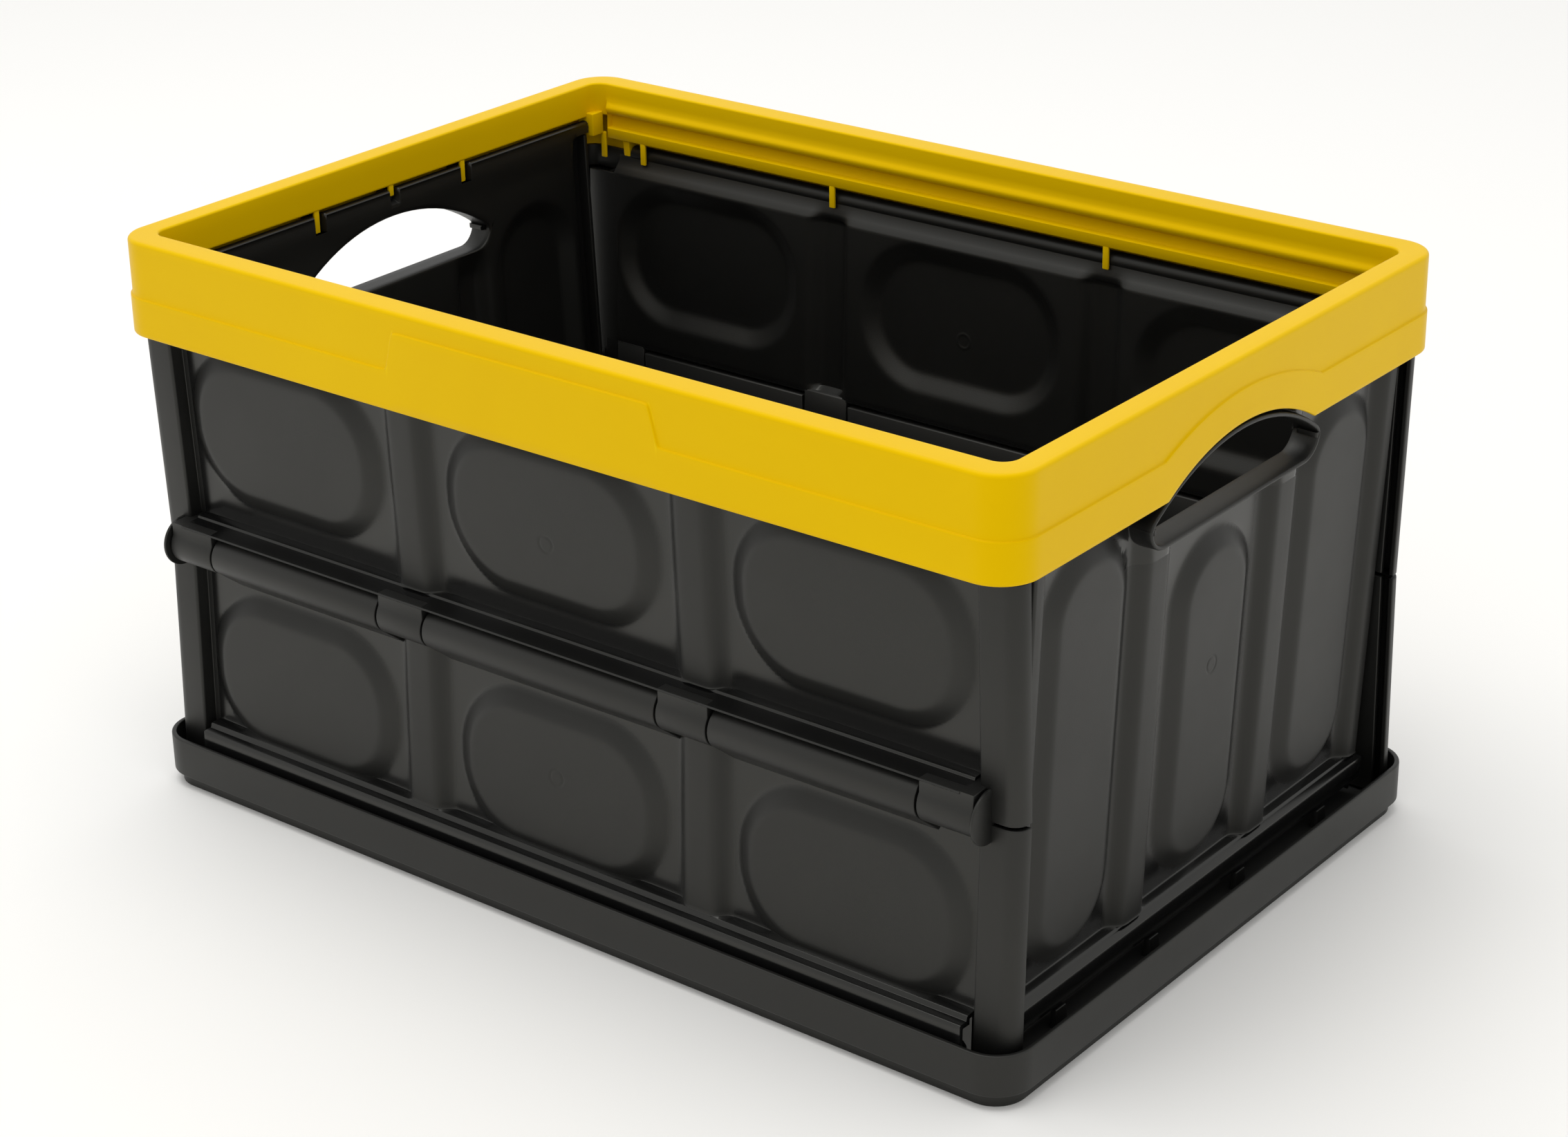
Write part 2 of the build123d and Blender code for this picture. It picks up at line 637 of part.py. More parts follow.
# Base: tray with an upstanding lip on a foot ring
with BuildPart() as base_tray:
    extrude(slab(LIP_BOTTOM_Z, BASE_LENGTH, BASE_WIDTH, BASE_CORNER), amount=LIP_TOP_Z - LIP_BOTTOM_Z)
    fillet(faces().sort_by(Axis.Z)[-1].edges(), 0.8)
    extrude(
        slab(FLOOR_TOP_Z, BASE_LENGTH - 2 * WALL, BASE_WIDTH - 2 * WALL, BASE_CORNER - WALL),
        amount=LIP_TOP_Z,
        mode=Mode.SUBTRACT,
    )
    extrude(slab(0, FOOT_LENGTH, FOOT_WIDTH, FOOT_CORNER), amount=LIP_BOTTOM_Z)
    extrude(
        slab(0, FOOT_LENGTH - 2 * FOOT_WALL, FOOT_WIDTH - 2 * FOOT_WALL, FOOT_CORNER - FOOT_WALL),
        amount=LIP_BOTTOM_Z,
        mode=Mode.SUBTRACT,
    )
    with BuildSketch(Plane.XY.offset(UNDER_RIB_BOTTOM_Z)):
        with GridLocations(64.0, 0, 7, 1):
            Rectangle(UNDER_RIB, FOOT_WIDTH - FOOT_WALL)
        with GridLocations(0, 62.0, 1, 5):
            Rectangle(FOOT_LENGTH - FOOT_WALL, UNDER_RIB)
    extrude(amount=LIP_BOTTOM_Z - UNDER_RIB_BOTTOM_Z)
    for side in LONG_SIDES:
        for ear_side in END_SIDES:
            start = min(ear_side * EAR_X[0], ear_side * EAR_X[1])
            ear = (
                (side * 166.0, FLOOR_TOP_Z),
                (side * 180.5, FLOOR_TOP_Z),
                (side * 180.5, 18.0),
                (side * 174.0, 22.0),
                (side * 168.5, 22.0),
                (side * 166.0, 18.0),
            )
            extrude(polygon_on(across(start), ear), amount=EAR_X[1] - EAR_X[0])
        base_line = (side * OUTER_HINGE_Y, BASE_HINGE_Z)
        bore_x(base_line, HINGE_PIN_RADIUS + TIGHT, -EAR_X[1], -EAR_X[0])
        bore_x(base_line, HINGE_PIN_RADIUS + TIGHT, EAR_X[0], EAR_X[1])
    for end_side in END_SIDES:
        for keeper_y in KEEPER_YS:
            near_x = end_side * KEEPER_X
            keeper = (
                (near_x, FLOOR_TOP_Z),
                (near_x + end_side * 5.5, FLOOR_TOP_Z),
                (near_x + end_side * KEEPER_SIZE[0], FLOOR_TOP_Z + KEEPER_SIZE[2]),
                (near_x + end_side * 1.0, FLOOR_TOP_Z + KEEPER_SIZE[2]),
            )
            extrude(polygon_on(along(keeper_y + KEEPER_SIZE[1] / 2), keeper), amount=KEEPER_SIZE[1])


def fold_pin(side, end_side):
    """Half of a fold line's pin with its disc head."""
    centre = (side * FOLD_Y, FOLD_Z)
    inner_x = 2.0
    start = min(end_side * inner_x, end_side * FOLD_HEAD_X)
    extrude(disc_on(across(start), centre, FOLD_PIN_RADIUS), amount=FOLD_HEAD_X - inner_x)
    start = min(end_side * FOLD_HEAD_X, end_side * (FOLD_HEAD_X + FOLD_HEAD_THICK))
    extrude(disc_on(across(start), centre, FOLD_HEAD_RADIUS), amount=FOLD_HEAD_THICK)


def wall_pin(centre, end_side):
    """Plain pin through an ear into a barrel."""
    inner_x = HINGE_END_X - 10
    start = min(end_side * inner_x, end_side * EAR_X[1])
    extrude(disc_on(across(start), centre, HINGE_PIN_RADIUS), amount=EAR_X[1] - inner_x)


def end_pin(end_side, side):
    """Plain pin that an end wall turns on."""
    inner_y = END_HALF_WIDTH - 12
    outer_y = 164.6
    near = outer_y if side > 0 else -inner_y
    centre = (end_side * PIVOT_X, PIVOT_Z)
    extrude(disc_on(along(near), centre, END_PIN_RADIUS), amount=outer_y - inner_y)


# Fold pins
with BuildPart() as front_left_fold_pin:
    fold_pin(-1, -1)

with BuildPart() as front_right_fold_pin:
    fold_pin(-1, 1)

with BuildPart() as rear_left_fold_pin:
    fold_pin(1, -1)

with BuildPart() as rear_right_fold_pin:
    fold_pin(1, 1)

# Pins between the rim and the upper leaves
with BuildPart() as front_left_rim_pin:
    wall_pin((-OUTER_HINGE_Y, TOP_HINGE_Z), -1)

with BuildPart() as front_right_rim_pin:
    wall_pin((-OUTER_HINGE_Y, TOP_HINGE_Z), 1)

with BuildPart() as rear_left_rim_pin:
    wall_pin((OUTER_HINGE_Y, TOP_HINGE_Z), -1)

with BuildPart() as rear_right_rim_pin:
    wall_pin((OUTER_HINGE_Y, TOP_HINGE_Z), 1)

# Pins between the base and the lower leaves
with BuildPart() as front_left_base_pin:
    wall_pin((-OUTER_HINGE_Y, BASE_HINGE_Z), -1)

with BuildPart() as front_right_base_pin:
    wall_pin((-OUTER_HINGE_Y, BASE_HINGE_Z), 1)

with BuildPart() as rear_left_base_pin:
    wall_pin((OUTER_HINGE_Y, BASE_HINGE_Z), -1)

with BuildPart() as rear_right_base_pin:
    wall_pin((OUTER_HINGE_Y, BASE_HINGE_Z), 1)

# Pins between the rim and the end walls
with BuildPart() as left_front_end_pin:
    end_pin(-1, -1)

with BuildPart() as left_rear_end_pin:
    end_pin(-1, 1)

with BuildPart() as right_front_end_pin:
    end_pin(1, -1)

with BuildPart() as right_rear_end_pin:
    end_pin(1, 1)

top_rim.part.label = "top_rim"
base_tray.part.label = "base_tray"
front_upper_panel.part.label = "front_upper_panel"
front_lower_panel.part.label = "front_lower_panel"
rear_upper_panel.part.label = "rear_upper_panel"
rear_lower_panel.part.label = "rear_lower_panel"
left_end_panel.part.label = "left_end_panel"
right_end_panel.part.label = "right_end_panel"
front_left_fold_pin.part.label = "front_left_fold_pin"
front_right_fold_pin.part.label = "front_right_fold_pin"
rear_left_fold_pin.part.label = "rear_left_fold_pin"
rear_right_fold_pin.part.label = "rear_right_fold_pin"
front_left_rim_pin.part.label = "front_left_rim_pin"
front_right_rim_pin.part.label = "front_right_rim_pin"
rear_left_rim_pin.part.label = "rear_left_rim_pin"
rear_right_rim_pin.part.label = "rear_right_rim_pin"
front_left_base_pin.part.label = "front_left_base_pin"
front_right_base_pin.part.label = "front_right_base_pin"
rear_left_base_pin.part.label = "rear_left_base_pin"
rear_right_base_pin.part.label = "rear_right_base_pin"
left_front_end_pin.part.label = "left_front_end_pin"
left_rear_end_pin.part.label = "left_rear_end_pin"
right_front_end_pin.part.label = "right_front_end_pin"
right_rear_end_pin.part.label = "right_rear_end_pin"

export_step(top_rim.part, "parts/top_rim.step")
export_step(base_tray.part, "parts/base_tray.step")
export_step(front_upper_panel.part, "parts/front_upper_panel.step")
export_step(front_lower_panel.part, "parts/front_lower_panel.step")
export_step(rear_upper_panel.part, "parts/rear_upper_panel.step")
export_step(rear_lower_panel.part, "parts/rear_lower_panel.step")
export_step(left_end_panel.part, "parts/left_end_panel.step")
export_step(right_end_panel.part, "parts/right_end_panel.step")
export_step(front_left_fold_pin.part, "parts/front_left_fold_pin.step")
export_step(front_right_fold_pin.part, "parts/front_right_fold_pin.step")
export_step(rear_left_fold_pin.part, "parts/rear_left_fold_pin.step")
export_step(rear_right_fold_pin.part, "parts/rear_right_fold_pin.step")
export_step(front_left_rim_pin.part, "parts/front_left_rim_pin.step")
export_step(front_right_rim_pin.part, "parts/front_right_rim_pin.step")
export_step(rear_left_rim_pin.part, "parts/rear_left_rim_pin.step")
export_step(rear_right_rim_pin.part, "parts/rear_right_rim_pin.step")
export_step(front_left_base_pin.part, "parts/front_left_base_pin.step")
export_step(front_right_base_pin.part, "parts/front_right_base_pin.step")
export_step(rear_left_base_pin.part, "parts/rear_left_base_pin.step")
export_step(rear_right_base_pin.part, "parts/rear_right_base_pin.step")
export_step(left_front_end_pin.part, "parts/left_front_end_pin.step")
export_step(left_rear_end_pin.part, "parts/left_rear_end_pin.step")
export_step(right_front_end_pin.part, "parts/right_front_end_pin.step")
export_step(right_rear_end_pin.part, "parts/right_rear_end_pin.step")
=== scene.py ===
import math

import bpy
import numpy as np
from mathutils import Matrix


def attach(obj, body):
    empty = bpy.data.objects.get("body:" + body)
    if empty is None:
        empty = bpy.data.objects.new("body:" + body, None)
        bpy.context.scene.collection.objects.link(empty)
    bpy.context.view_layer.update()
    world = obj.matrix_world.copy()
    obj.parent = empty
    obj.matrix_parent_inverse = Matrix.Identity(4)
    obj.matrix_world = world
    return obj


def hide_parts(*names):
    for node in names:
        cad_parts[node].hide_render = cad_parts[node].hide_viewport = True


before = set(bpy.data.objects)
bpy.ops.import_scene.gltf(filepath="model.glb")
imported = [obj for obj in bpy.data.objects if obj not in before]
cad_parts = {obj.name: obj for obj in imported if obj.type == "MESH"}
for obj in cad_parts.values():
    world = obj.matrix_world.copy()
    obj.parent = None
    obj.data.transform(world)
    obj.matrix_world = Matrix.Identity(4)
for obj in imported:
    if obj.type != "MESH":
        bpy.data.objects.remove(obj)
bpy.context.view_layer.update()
MM = 0.001

# Base tray: a black polypropylene moulding, near black in the mass with a fine spark-eroded
# grain that breaks up its highlights. A lip stands round it, and a foot ring stands in under it.


def linear(hex_colour):
    """sRGB hex to linear RGBA: c / 12.92 up to 0.04045, else ((c + 0.055) / 1.055) ^ 2.4."""
    parts = [int(hex_colour[i : i + 2], 16) / 255 for i in (1, 3, 5)]
    rgb = [c / 12.92 if c <= 0.04045 else ((c + 0.055) / 1.055) ** 2.4 for c in parts]
    return (*rgb, 1.0)


def add(material, kind, settings=None, **links):
    """Adds one node to a material, sets its inputs and links others to it."""
    node = material.node_tree.nodes.new(kind)
    for name, value in (settings or {}).items():
        if name in node.inputs:
            node.inputs[name].default_value = value
        else:
            setattr(node, name, value)
    for name, source in links.items():
        material.node_tree.links.new(source, node.inputs[name.replace("_", " ")])
    return node


STREAK_MM = 111.1
SMUDGE_MM = 38.46


def moulded_plastic(name, grained, polished, specular, tint, rubbed_colour, grain_mm, grain_depth):
    """Moulded plastic in two finishes, each (colour, streak, roughness). The mesh's own mask
    "grained" is 1 on spark-eroded faces and 0 on polished ones, and rubbed edges are paler."""
    material = bpy.data.materials.new(name)
    material.use_nodes = True
    material.node_tree.nodes.clear()
    join = material.node_tree.links.new
    place = add(material, "ShaderNodeTexCoord").outputs["Object"]
    mask = add(material, "ShaderNodeAttribute", {"attribute_name": "grained"}).outputs["Fac"]
    # Flow streaks: cloudy patches, a shade apart, where the melt cooled unevenly.
    flow = add(
        material,
        "ShaderNodeTexNoise",
        {"Scale": 1000.0 / STREAK_MM, "Detail": 4.0, "Roughness": 0.6, "Distortion": 0.6},
        Vector=place,
    )
    tones = []
    for colour, streak, _ in (grained, polished):
        tone = add(material, "ShaderNodeValToRGB", Fac=flow.outputs["Fac"])
        tone.color_ramp.elements[0].position = 0.3
        tone.color_ramp.elements[0].color = linear(streak)
        tone.color_ramp.elements[1].position = 0.7
        tone.color_ramp.elements[1].color = linear(colour)
        tones.append(tone.outputs["Color"])
    finish = add(material, "ShaderNodeMix", {"data_type": "RGBA"})
    join(mask, finish.inputs[0])
    join(tones[1], finish.inputs[6])
    join(tones[0], finish.inputs[7])
    # Rubbed edges: a trace paler where the mesh is sharply convex.
    raised = add(material, "ShaderNodeNewGeometry").outputs["Pointiness"]
    rubbed = add(material, "ShaderNodeMapRange", {"From Min": 0.54, "From Max": 0.7}, Value=raised)
    worn = add(material, "ShaderNodeMix", {"data_type": "RGBA"})
    join(rubbed.outputs["Result"], worn.inputs[0])
    join(finish.outputs[2], worn.inputs[6])
    worn.inputs[7].default_value = linear(rubbed_colour)
    # Grain: pits a fraction of a millimetre across, full on grained faces, faint on polished.
    grain = add(
        material,
        "ShaderNodeTexNoise",
        {"Scale": 1000.0 / grain_mm, "Detail": 2.0, "Roughness": 0.5},
        Vector=place,
    )
    depth = add(
        material,
        "ShaderNodeMapRange",
        {"To Min": 0.3 * grain_depth, "To Max": grain_depth},
        Value=mask,
    )
    relief = add(
        material,
        "ShaderNodeBump",
        {"Distance": 0.0001},
        Height=grain.outputs["Fac"],
        Strength=depth.outputs["Result"],
    )
    # Handling: smudges a palm's breadth apart that vary the gloss by a few hundredths.
    handling = add(
        material,
        "ShaderNodeTexNoise",
        {"Scale": 1000.0 / SMUDGE_MM, "Detail": 5.0, "Roughness": 0.65},
        Vector=place,
    )
    smudge = add(
        material,
        "ShaderNodeMapRange",
        {"To Min": -0.05, "To Max": 0.05},
        Value=handling.outputs["Fac"],
    )
    gloss = add(
        material,
        "ShaderNodeMapRange",
        {"To Min": polished[2], "To Max": grained[2]},
        Value=mask,
    )
    polish = add(material, "ShaderNodeMath", {"operation": "ADD"})
    join(gloss.outputs["Result"], polish.inputs[0])
    join(smudge.outputs["Result"], polish.inputs[1])
    shader = add(
        material,
        "ShaderNodeBsdfPrincipled",
        {"Specular IOR Level": specular, "IOR": 1.49, "Specular Tint": linear(tint)},
        Base_Color=worn.outputs[2],
        Roughness=polish.outputs["Value"],
        Normal=relief.outputs["Normal"],
    )
    add(material, "ShaderNodeOutputMaterial", Surface=shader.outputs["BSDF"])
    return material


def rounded(corners, radii, steps=5):
    """Closed outline with each corner swept by an arc: the arc starts radius * tan(turn / 2)
    before the corner and turns about a centre one radius to the side the path turns to."""
    corners = np.array(corners, float)
    radii = np.broadcast_to(np.array(radii, float), len(corners))
    before = corners - np.roll(corners, 1, 0)
    before /= np.linalg.norm(before, axis=1)[:, None]
    after = np.roll(before, -1, 0)
    turn = np.arctan2(
        before[:, 0] * after[:, 1] - before[:, 1] * after[:, 0], (before * after).sum(1)
    )
    left = np.stack([-before[:, 1], before[:, 0]], 1) * np.sign(turn)[:, None]
    start = corners - before * (radii * np.tan(abs(turn) / 2))[:, None]
    centre = start + left * radii[:, None]
    sweep = turn[:, None] * np.linspace(0, 1, steps)
    spoke = -left * radii[:, None]
    x = spoke[:, :1] * np.cos(sweep) - spoke[:, 1:] * np.sin(sweep)
    y = spoke[:, :1] * np.sin(sweep) + spoke[:, 1:] * np.cos(sweep)
    return (centre[:, None] + np.stack([x, y], 2)).reshape(-1, 2)


def stations(low, high, coarse, *fine):
    """Positions from low to high, coarse apart, and closer about each (centre, reach, step)."""
    marks = [np.linspace(low, high, max(2, round((high - low) / coarse) + 1))]
    for centre, reach, step in fine:
        near = np.arange(-reach, reach + step / 2, step) + centre
        marks[0] = marks[0][abs(marks[0] - centre) > reach + step / 2]
        marks.append(near[(near > low) & (near < high)])
    marks = np.unique(np.round(np.concatenate(marks + [[low, high]]), 4))
    return marks[np.concatenate([[True], np.diff(marks) > 1e-3])]


def weave(points, wrap_rows=False, wrap_columns=False, skip=None):
    """Quads over a grid of points: cell (i, j) joins it to rows i, i + 1 and columns j, j + 1."""
    rows, columns = points.shape[:2]
    index = np.arange(rows * columns).reshape(rows, columns)
    if wrap_rows:
        index = np.vstack([index, index[:1]])
    if wrap_columns:
        index = np.hstack([index, index[:, :1]])
    quads = np.stack([index[:-1, :-1], index[1:, :-1], index[1:, 1:], index[:-1, 1:]], 2)
    quads = quads.reshape(-1, 4) if skip is None else quads[~skip]
    return points.reshape(-1, 3), [*quads.tolist()]


def prism(outline, start, end, place, edge=0.5):
    """Solid bar: an outline carried from start to end, shrunk by edge * (1 - sin a) over the last
    edge * (1 - cos a) at both ends, then capped. place turns outline and station into X, Y, Z."""
    outline = np.array(outline, float)
    ahead = np.roll(outline, -1, 0) - np.roll(outline, 1, 0)
    inward = np.stack([-ahead[:, 1], ahead[:, 0]], 1)
    inward /= np.maximum(np.linalg.norm(inward, axis=1), 1e-9)[:, None]
    x, y = outline.T
    inward *= np.sign(np.sum(x * np.roll(y, -1) - y * np.roll(x, -1)))
    a = np.linspace(0, math.pi / 2, 4)
    shrink = edge * (1 - np.sin(a))
    creep = edge * (1 - np.cos(a))
    along = np.concatenate([start + creep, end - creep[::-1]])
    shrink = np.concatenate([shrink, shrink[::-1]])
    ring = outline[None] + inward[None] * shrink[:, None, None]
    points = place(ring[..., 0], ring[..., 1], along[:, None] + 0 * ring[..., 0])
    vertices, faces = weave(points, wrap_columns=True)
    count = len(outline)
    last = len(vertices) - count
    faces += [list(range(count)), list(range(last + count - 1, last - 1, -1))]
    return vertices, faces


def block(low, high, edge=0.5):
    """Box with rounded edges between two corners: a rounded oblong carried up in Z."""
    (x0, y0, z0), (x1, y1, z1) = np.minimum(low, high), np.maximum(low, high)
    outline = rounded([(x0, y0), (x1, y0), (x1, y1), (x0, y1)], edge, 4)
    return prism(outline, z0, z1, lambda x, y, z: np.stack([x, y, z], -1), edge)


def make_piece(name, shells, material, body, node_name):
    """One mesh from closed shells, each turned so that the volume it encloses is positive:
    a sixth of the sum of a . (b x c) over its triangles. A shell's third item is its mask of
    grained faces, else all of it is grained."""
    vertices, faces, masks, count = [], [], [], 0
    for points, shell_faces, *mask in shells:
        points = np.array(points, float) * MM
        masks.append(mask[0] if mask else np.ones(len(points)))
        fans = np.array(
            [(f[0], f[i], f[i + 1]) for f in shell_faces for i in range(1, len(f) - 1)]
        )
        a, b, c = (points[fans[:, k]] for k in range(3))
        outward = np.einsum("ij,ij->", a, np.cross(b, c)) > 0
        faces += [[count + k for k in (f if outward else f[::-1])] for f in shell_faces]
        vertices.append(points)
        count += len(points)
    mesh = bpy.data.meshes.new(name)
    mesh.from_pydata(np.concatenate(vertices).tolist(), [], faces)
    mesh.shade_smooth()
    mesh.set_sharp_from_angle(angle=math.radians(50))
    grained = mesh.attributes.new("grained", "FLOAT", "POINT")
    grained.data.foreach_set("value", np.concatenate(masks))
    mesh.materials.append(material)
    piece = bpy.data.objects.new(name, mesh)
    bpy.context.scene.collection.objects.link(piece)
    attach(piece, body)
    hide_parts(node_name)
    return piece


def rounded_track(length, width, corner, along_x, along_y, turn_steps=14):
    """Centre line and outward normal round a rectangle with rounded corners. A point at
    distance d outside the rectangle is centre + normal * (corner + d). along_x and along_y run
    from -1 to 1 between the corners' centres."""
    hx, hy = length / 2 - corner, width / 2 - corner
    centres, normals = [], []
    arc = np.linspace(0, math.pi / 2, turn_steps)[1:-1]
    for quarter in range(4):
        facing = (quarter - 1) * math.pi / 2
        share = along_x if quarter % 2 == 0 else along_y
        ahead = np.array([-math.sin(facing), math.cos(facing)])
        out = np.array([math.cos(facing), math.sin(facing)])
        half = hx if quarter % 2 == 0 else hy
        back = hy if quarter % 2 == 0 else hx
        centres.append(out * back + ahead * (share * half)[:, None])
        normals.append(np.tile(out, (len(share), 1)))
        centres.append(np.tile(out * back + ahead * half, (len(arc), 1)))
        normals.append(np.cos(arc)[:, None] * out + np.sin(arc)[:, None] * ahead)
    return np.concatenate(centres), np.concatenate(normals)


def ring(track, corner, out, height):
    """Closed band round a track: out and height give each row's distance outside the
    rectangle and its level at each station."""
    centre, normal = track
    flat = centre[None] + normal[None] * (corner + out)[..., None]
    return np.concatenate([flat, (height + 0 * out)[..., None]], -1)


def along_x(end, side=1):
    """Place for a profile in (Y, Z) carried along X, mirrored to one end and one side."""
    return lambda a, b, s: np.stack([end * s, side * a, b], -1)


def along_y(end):
    """Place for a profile in (X, Z) carried along Y, mirrored to one end."""
    return lambda a, b, s: np.stack([end * a, s, b], -1)


# Black polypropylene, moulded: the spark-eroded faces are satin with a soft grey bloom, and the
# polished faces between them catch the room in long clear reflections.
black_plastic = moulded_plastic(
    "black_polypropylene",
    grained=("#0e0e0d", "#0b0b0b", 0.47),
    polished=("#0f0f0f", "#0d0d0d", 0.17),
    specular=0.5,
    tint="#fffef6",
    rubbed_colour="#2a2a29",
    grain_mm=0.5,
    grain_depth=0.45,
)

TRAY_LENGTH, TRAY_WIDTH, TRAY_CORNER = 540.0, 366.0, 20.0
LIP_TOP, LIP_THICK = 28.2, 2.5
FLOOR_UNDER, FLOOR_TOP, FLOOR_EDGE = 7.1, 10.0, 12.0
FOOT_OUT, FOOT_IN = 4.0, 7.0
FLOOR_RIB_LOW, FLOOR_RIB_HIGH = 2.0, 7.4
KEEPERS_Y = (-117.0, -39.0, 39.0, 117.0)
EAR_SPAN = (232.5, 237.0)
tray_share_x = np.linspace(-1, 1, 60)
tray_share_y = np.linspace(-1, 1, 40)
tray_track = rounded_track(TRAY_LENGTH, TRAY_WIDTH, TRAY_CORNER, tray_share_x, tray_share_y)
tray_section = rounded(
    [
        (-LIP_THICK, LIP_TOP),
        (-LIP_THICK, FLOOR_TOP),
        (-FLOOR_EDGE, FLOOR_TOP),
        (-FLOOR_EDGE, FLOOR_UNDER),
        (-FOOT_IN, FLOOR_UNDER),
        (-FOOT_IN, 0.0),
        (-FOOT_OUT, 0.0),
        (-FOOT_OUT, FLOOR_UNDER),
        (0.0, FLOOR_UNDER),
        (0.0, LIP_TOP),
    ],
    [0.7, 0.6, 0.2, 0.2, 0.5, 0.6, 0.6, 0.5, 0.9, 0.9],
)
tray_rows = np.ones((1, len(tray_track[0])))
tray_band = ring(
    tray_track, TRAY_CORNER, tray_section[:, :1] * tray_rows, tray_section[:, 1:] * tray_rows
)
tray_shells = [weave(tray_band, wrap_rows=True, wrap_columns=True)]
tray_shells.append(block((-262, -175, FLOOR_UNDER), (262, 175, FLOOR_TOP), 0.3))
for rib_x in np.arange(-3, 4) * 64.0:
    tray_shells.append(
        block((rib_x - 1, -176.5, FLOOR_RIB_LOW), (rib_x + 1, 176.5, FLOOR_RIB_HIGH), 0.4)
    )
for rib_y in np.arange(-2, 3) * 62.0:
    tray_shells.append(
        block((-263.5, rib_y - 1, FLOOR_RIB_LOW), (263.5, rib_y + 1, FLOOR_RIB_HIGH), 0.4)
    )
# Keepers that hold the end walls' feet, and ears that the long walls' pins go through.
keeper = rounded([(250.2, 9.5), (255.7, 9.5), (254.2, 20.0), (251.2, 20.0)], 0.5, 4)
ear = [(166.0, 9.5), (180.5, 9.5), (180.5, 18.0), (174.0, 22.0), (168.5, 22.0), (166.0, 18.0)]
ear = rounded(ear, 0.8, 4)
for end in (-1, 1):
    for keeper_y in KEEPERS_Y:
        tray_shells.append(prism(keeper, keeper_y - 4, keeper_y + 4, along_y(end)))
    for side in (-1, 1):
        tray_shells.append(prism(ear, *EAR_SPAN, along_x(end, side)))
make_piece("tray", tray_shells, black_plastic, "carcass", "base_tray")

# Long walls: each is two black leaves, moulded like the tray and creased on a fold line. The
# skins are of even thickness, so every oval and rib stands out in front and sinks in behind.


def ramp(depth, width, soft):
    """0 outside, 1 past width, straight between, its two bends rounded by soft:
    (sqrt(d^2 + s^2) - sqrt((d - w)^2 + s^2)) / 2w + 1/2."""
    return (np.hypot(depth, soft) - np.hypot(depth - width, soft)) / (2 * width) + 0.5


def depth_in(u, v, centre, size, corner):
    """How far a point lies inside a rounded rectangle: corner - |max(q, 0)| - min(max(q), 0),
    where q is the distance past the rectangle shrunk by its corner."""
    qu = abs(u - centre[0]) - size[0] / 2 + corner
    qv = abs(v - centre[1]) - size[1] / 2 + corner
    outside = np.hypot(np.maximum(qu, 0), np.maximum(qv, 0))
    return corner - outside - np.minimum(np.maximum(qu, qv), 0)


def leaf_place(anchor, outward, lean_degrees, setback):
    """Turns leaf coordinates (u along, v up the leaf, w outward) into X, Y, Z, for a leaf that
    leans by an angle about an anchor line, its face one setback inside that line."""
    lean = math.radians(lean_degrees)
    outward = np.array(outward, float)
    sideways = abs(np.array([outward[1], outward[0], 0]))
    normal = outward * math.cos(lean) - np.array([0, 0, math.sin(lean)])
    rise = outward * math.sin(lean) + np.array([0, 0, math.cos(lean)])
    base = np.array(anchor, float) - normal * setback

    def place(u, v, w):
        u, v, w = np.broadcast_arrays(u, v, w)
        return base + u[..., None] * sideways + v[..., None] * rise + w[..., None] * normal

    return place


def up_leaf(place, end):
    """Place for a profile in (u, w) carried up a leaf, mirrored to one end of it."""
    return lambda a, b, s: place(end * a, s, b)


def along_leaf(place):
    """Place for a profile in (w, v) carried along a leaf."""
    return lambda a, b, s: place(s, b, a)


BACK_INSET = 0.55
GRAIN_FROM = 0.6


def skin(place, us, outer, inner, relief, thickness, window=None, shift=None):
    """Even-walled panel: (w, v, share) rows up the front and down the back are joined in a loop,
    and relief(u, v, inset) * share lifts each. A window leaves a hole of cells for a collar, and
    shift(u, v) moves front and back out together. What stands 0.6 out or more is grained."""
    loop = np.concatenate([outer, inner])
    behind = np.arange(len(loop)) >= len(outer)
    u = us[:, None]
    back_lift = relief(u, loop[:, 1], BACK_INSET * thickness)
    lift = np.where(behind, back_lift, relief(u, loop[:, 1], 0.0))
    moved = shift(u, loop[:, 1]) if shift else 0
    points = place(u, loop[:, 1], loop[:, 0] + lift * loop[:, 2] + moved)
    grained = np.where(behind, 1.0, np.clip(lift * loop[:, 2] / GRAIN_FROM, 0, 1)).ravel()
    skip = None
    if window:
        in_u = abs(us) <= window[0]
        in_v = (loop[:, 1] >= window[1]) & (loop[:, 1] <= window[2]) & (loop[:, 2] == 1)
        skip = (in_u[1:] & in_u[:-1])[:, None] & (in_v & np.roll(in_v, -1))[None]
    vertices, faces = weave(points, wrap_columns=True, skip=skip)
    count, last = len(loop), len(vertices) - len(loop)
    faces += [list(range(count)), list(range(last + count - 1, last - 1, -1))]
    return vertices, faces, grained


LEAF_THICK = 2.5
FOLD_LEVEL = 138.0
FOLD_OUT = 169.5
FOLD_SETBACK = 9.2
FOLD_ROUND = 10.5
LEAF_LEAN = 2.05
OVAL_CENTRES = (-173.0, 0.0, 173.0)
OVAL_SIZE, OVAL_CORNER = (131.0, 85.0), 40.0
OVAL_RAISE, OVAL_BORDER, OVAL_SOFT = 5.5, 9.5, 0.9
RIB_CENTRES = (-87.7, 87.7)
RIB_HALF = 14.0
RIB_RAISE, RIB_BORDER, RIB_SOFT = 6.7, 5.5, 1.6
GATE_RADIUS, GATE_DEPTH, GATE_REACH = 4.0, 0.3, 0.5
UPPER_OVAL, LOWER_OVAL = 69.0, -64.5
UPPER_GATE, LOWER_GATE = 61.0, -60.0


def oval(depth):
    """Raised oval: its border climbs 5.5 over 9.5."""
    return OVAL_RAISE * ramp(depth, OVAL_BORDER, OVAL_SOFT)


